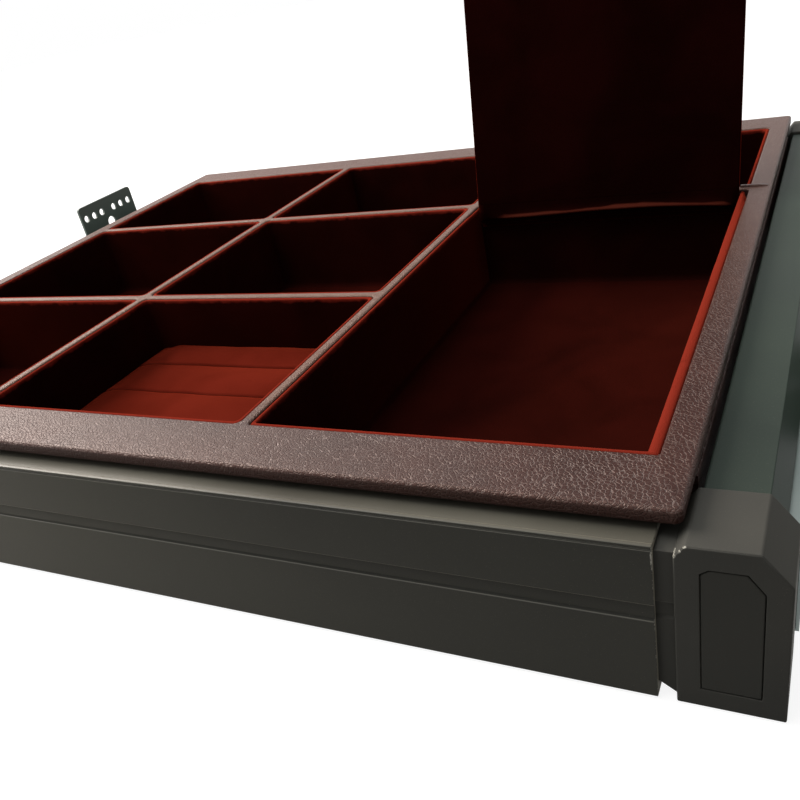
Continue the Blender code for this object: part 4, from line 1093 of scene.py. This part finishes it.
# A darker, duller copy of the leather for the rims' sides: the darker tone is painted shade, the
# lower shine is real
side_leather_painted_shade = pebbled_leather(
    "pebbled_leather_painted_shade", ("#26120F", "#301916"), "#7A665E", shine=0.3
)
# The liners' velvet has a painted highlight along its rolled top edges
velvet = cut_velvet("cut_velvet", "#1C0705", "#270A07", "#F4583A", 0.9, edge="#7E2A1E")
# A darker copy of the velvet for the lid, which stands in shade: painted shade
lid_velvet = cut_velvet("lid_velvet", "#150403", "#1E0605", "#E85034", 0.9)
# The hinge's velvet is the same darker copy, painted shade, with a painted highlight along its
# lower crease's crest
hinge_velvet = cut_velvet(
    "hinge_velvet",
    "#150403",
    "#1E0605",
    "#E85034",
    0.5,
    edge="#4E2118",
    turn=("Y", 66.9, 66.3, 4.0, 0.022),
)
# A lighter copy of the velvet for the pad, which sits higher in the light: painted light
pad_velvet_painted_light = cut_velvet("pad_velvet_painted_light", "#50160D", "#5E1C12", "#FF6440", 1.0)


def frame_finish(name):
    """The finish of one of the frame's rails or blocks."""
    if name == "front_rail":
        return rail_metal
    if name.endswith("side_rail"):
        return side_metal
    return block_metal if name.endswith("corner") else frame_metal


for name, node in nodes.items():
    finish = {
        "frame_paint": frame_finish(name),
        "plate_paint": plate_metal,
        "zinc_steel": zinc,
        "screw_steel": screw_metal,
        "cover_plastic": cover_plastic,
        "leather": leather,
        "velvet": velvet,
        "board": board,
    }[slot_of(name)]
    node.data.materials.clear()
    node.data.materials.append(finish)

build_frame()
build_leather()
build_liners(velvet)
build_pad(pad_velvet_painted_light)
build_lid(leather, lid_velvet)
build_batten(velvet)
build_lap(leather)
build_hinge_cloth(hinge_velvet)


# Floor and light
FLOOR_HALF = 6.0
FLOOR_BELOW = 0.0005
FLOOR_GLOW = 0.88


def seen_white(tree):
    """1 for the rays that show the surroundings: the camera's, and those in metal or glass."""
    path = add_node(tree, "ShaderNodeLightPath")
    seen = path.outputs["Is Camera Ray"]
    for ray in ("Is Glossy Ray", "Is Transmission Ray"):
        seen = calculated(tree, "MAXIMUM", seen, path.outputs[ray])
    return seen


def build_floor():
    """A pale floor, white where the camera looks at it out of the light."""
    shape = bmesh.new()
    bmesh.ops.create_grid(shape, x_segments=1, y_segments=1, size=FLOOR_HALF)
    mesh = bpy.data.meshes.new("studio_floor")
    shape.to_mesh(mesh)
    shape.free()
    floor = bpy.data.objects.new("studio_floor", mesh)
    bpy.context.scene.collection.objects.link(floor)
    floor.location.z = cad_box[0][2] - FLOOR_BELOW
    material, tree, shader, _ = new_material("matt_white_paper")
    feed(tree, shader, {
        "Base Color": colour("#8C8C8C"),
        "Roughness": 0.9,
        "Emission Color": colour("#FFFFFF"),
        "Emission Strength": calculated(tree, "MULTIPLY", seen_white(tree), FLOOR_GLOW),
    })
    mesh.materials.append(material)


def build_world():
    """White surroundings, which give only a little light."""
    world = bpy.data.worlds.new("studio")
    bpy.context.scene.world = world
    world.use_nodes = True
    tree = world.node_tree
    tree.nodes.clear()
    soft = add_node(tree, "ShaderNodeBackground", {"Color": colour("#FFFFFF"), "Strength": 0.16})
    white = add_node(tree, "ShaderNodeBackground", {"Color": colour("#FFFFFF"), "Strength": 1.0})
    either = add_node(
        tree,
        "ShaderNodeMixShader",
        {0: seen_white(tree), 1: soft.outputs["Background"], 2: white.outputs["Background"]},
    )
    add_node(tree, "ShaderNodeOutputWorld", {"Surface": either.outputs["Shader"]})


def add_lamp(name, place, target, size, power, tint="#FFFFFF"):
    """A rectangular lamp that faces a target. Places are in metres and the power is in watts."""
    data = bpy.data.lights.new(name, "AREA")
    data.shape = "RECTANGLE"
    data.size, data.size_y = size
    data.energy = power
    data.color = colour(tint)[:3]
    lamp = bpy.data.objects.new(name, data)
    bpy.context.scene.collection.objects.link(lamp)
    lamp.location = place
    lamp.rotation_euler = (Vector(target) - Vector(place)).to_track_quat("-Z", "Y").to_euler()


build_floor()
build_world()
add_lamp("overhead_softbox", (-0.35, -0.3, 1.9), (0, 0, 0.05), (1.4, 1.0), 20.6)
add_lamp("front_softbox", (-0.6, -1.1, 1.5), (0, 0, 0.05), (1.0, 0.5), 1.45)
add_lamp("left_window", (-1.51, 0.29, 1.24), (0, 0, 0.05), (1.3, 1.1), 58.0, "#FFF6EE")


# Camera, solved from the photograph's vanishing points
FOCAL_PX = 827.1
PRINCIPAL_PX = (391.53, 440.12)
FRAME_PX = 800
SENSOR_MM = 36.0
RIGHTWARDS = Vector((0.8853259, 0.4218536, -0.1955444))
DOWNWARDS = Vector((0.0683456, -0.5340495, -0.8426862))
FORWARDS = Vector((-0.4599206, 0.7326873, -0.5016397))
CAMERA_PLACE = (306.92, -197.92, 232.59)

data = bpy.data.cameras.new("camera")
data.sensor_width = SENSOR_MM
data.lens = FOCAL_PX / FRAME_PX * SENSOR_MM
data.shift_x = (FRAME_PX / 2 - PRINCIPAL_PX[0]) / FRAME_PX
data.shift_y = (PRINCIPAL_PX[1] - FRAME_PX / 2) / FRAME_PX
data.clip_start = 0.01
camera = bpy.data.objects.new("camera", data)
bpy.context.scene.collection.objects.link(camera)
turn = Matrix((RIGHTWARDS, -DOWNWARDS, -FORWARDS)).transposed().to_4x4()
camera.matrix_world = Matrix.Translation(at(*CAMERA_PLACE)) @ turn
bpy.context.scene.camera = camera
bpy.context.scene.view_settings.view_transform = "Standard"

bpy.context.view_layer.update()
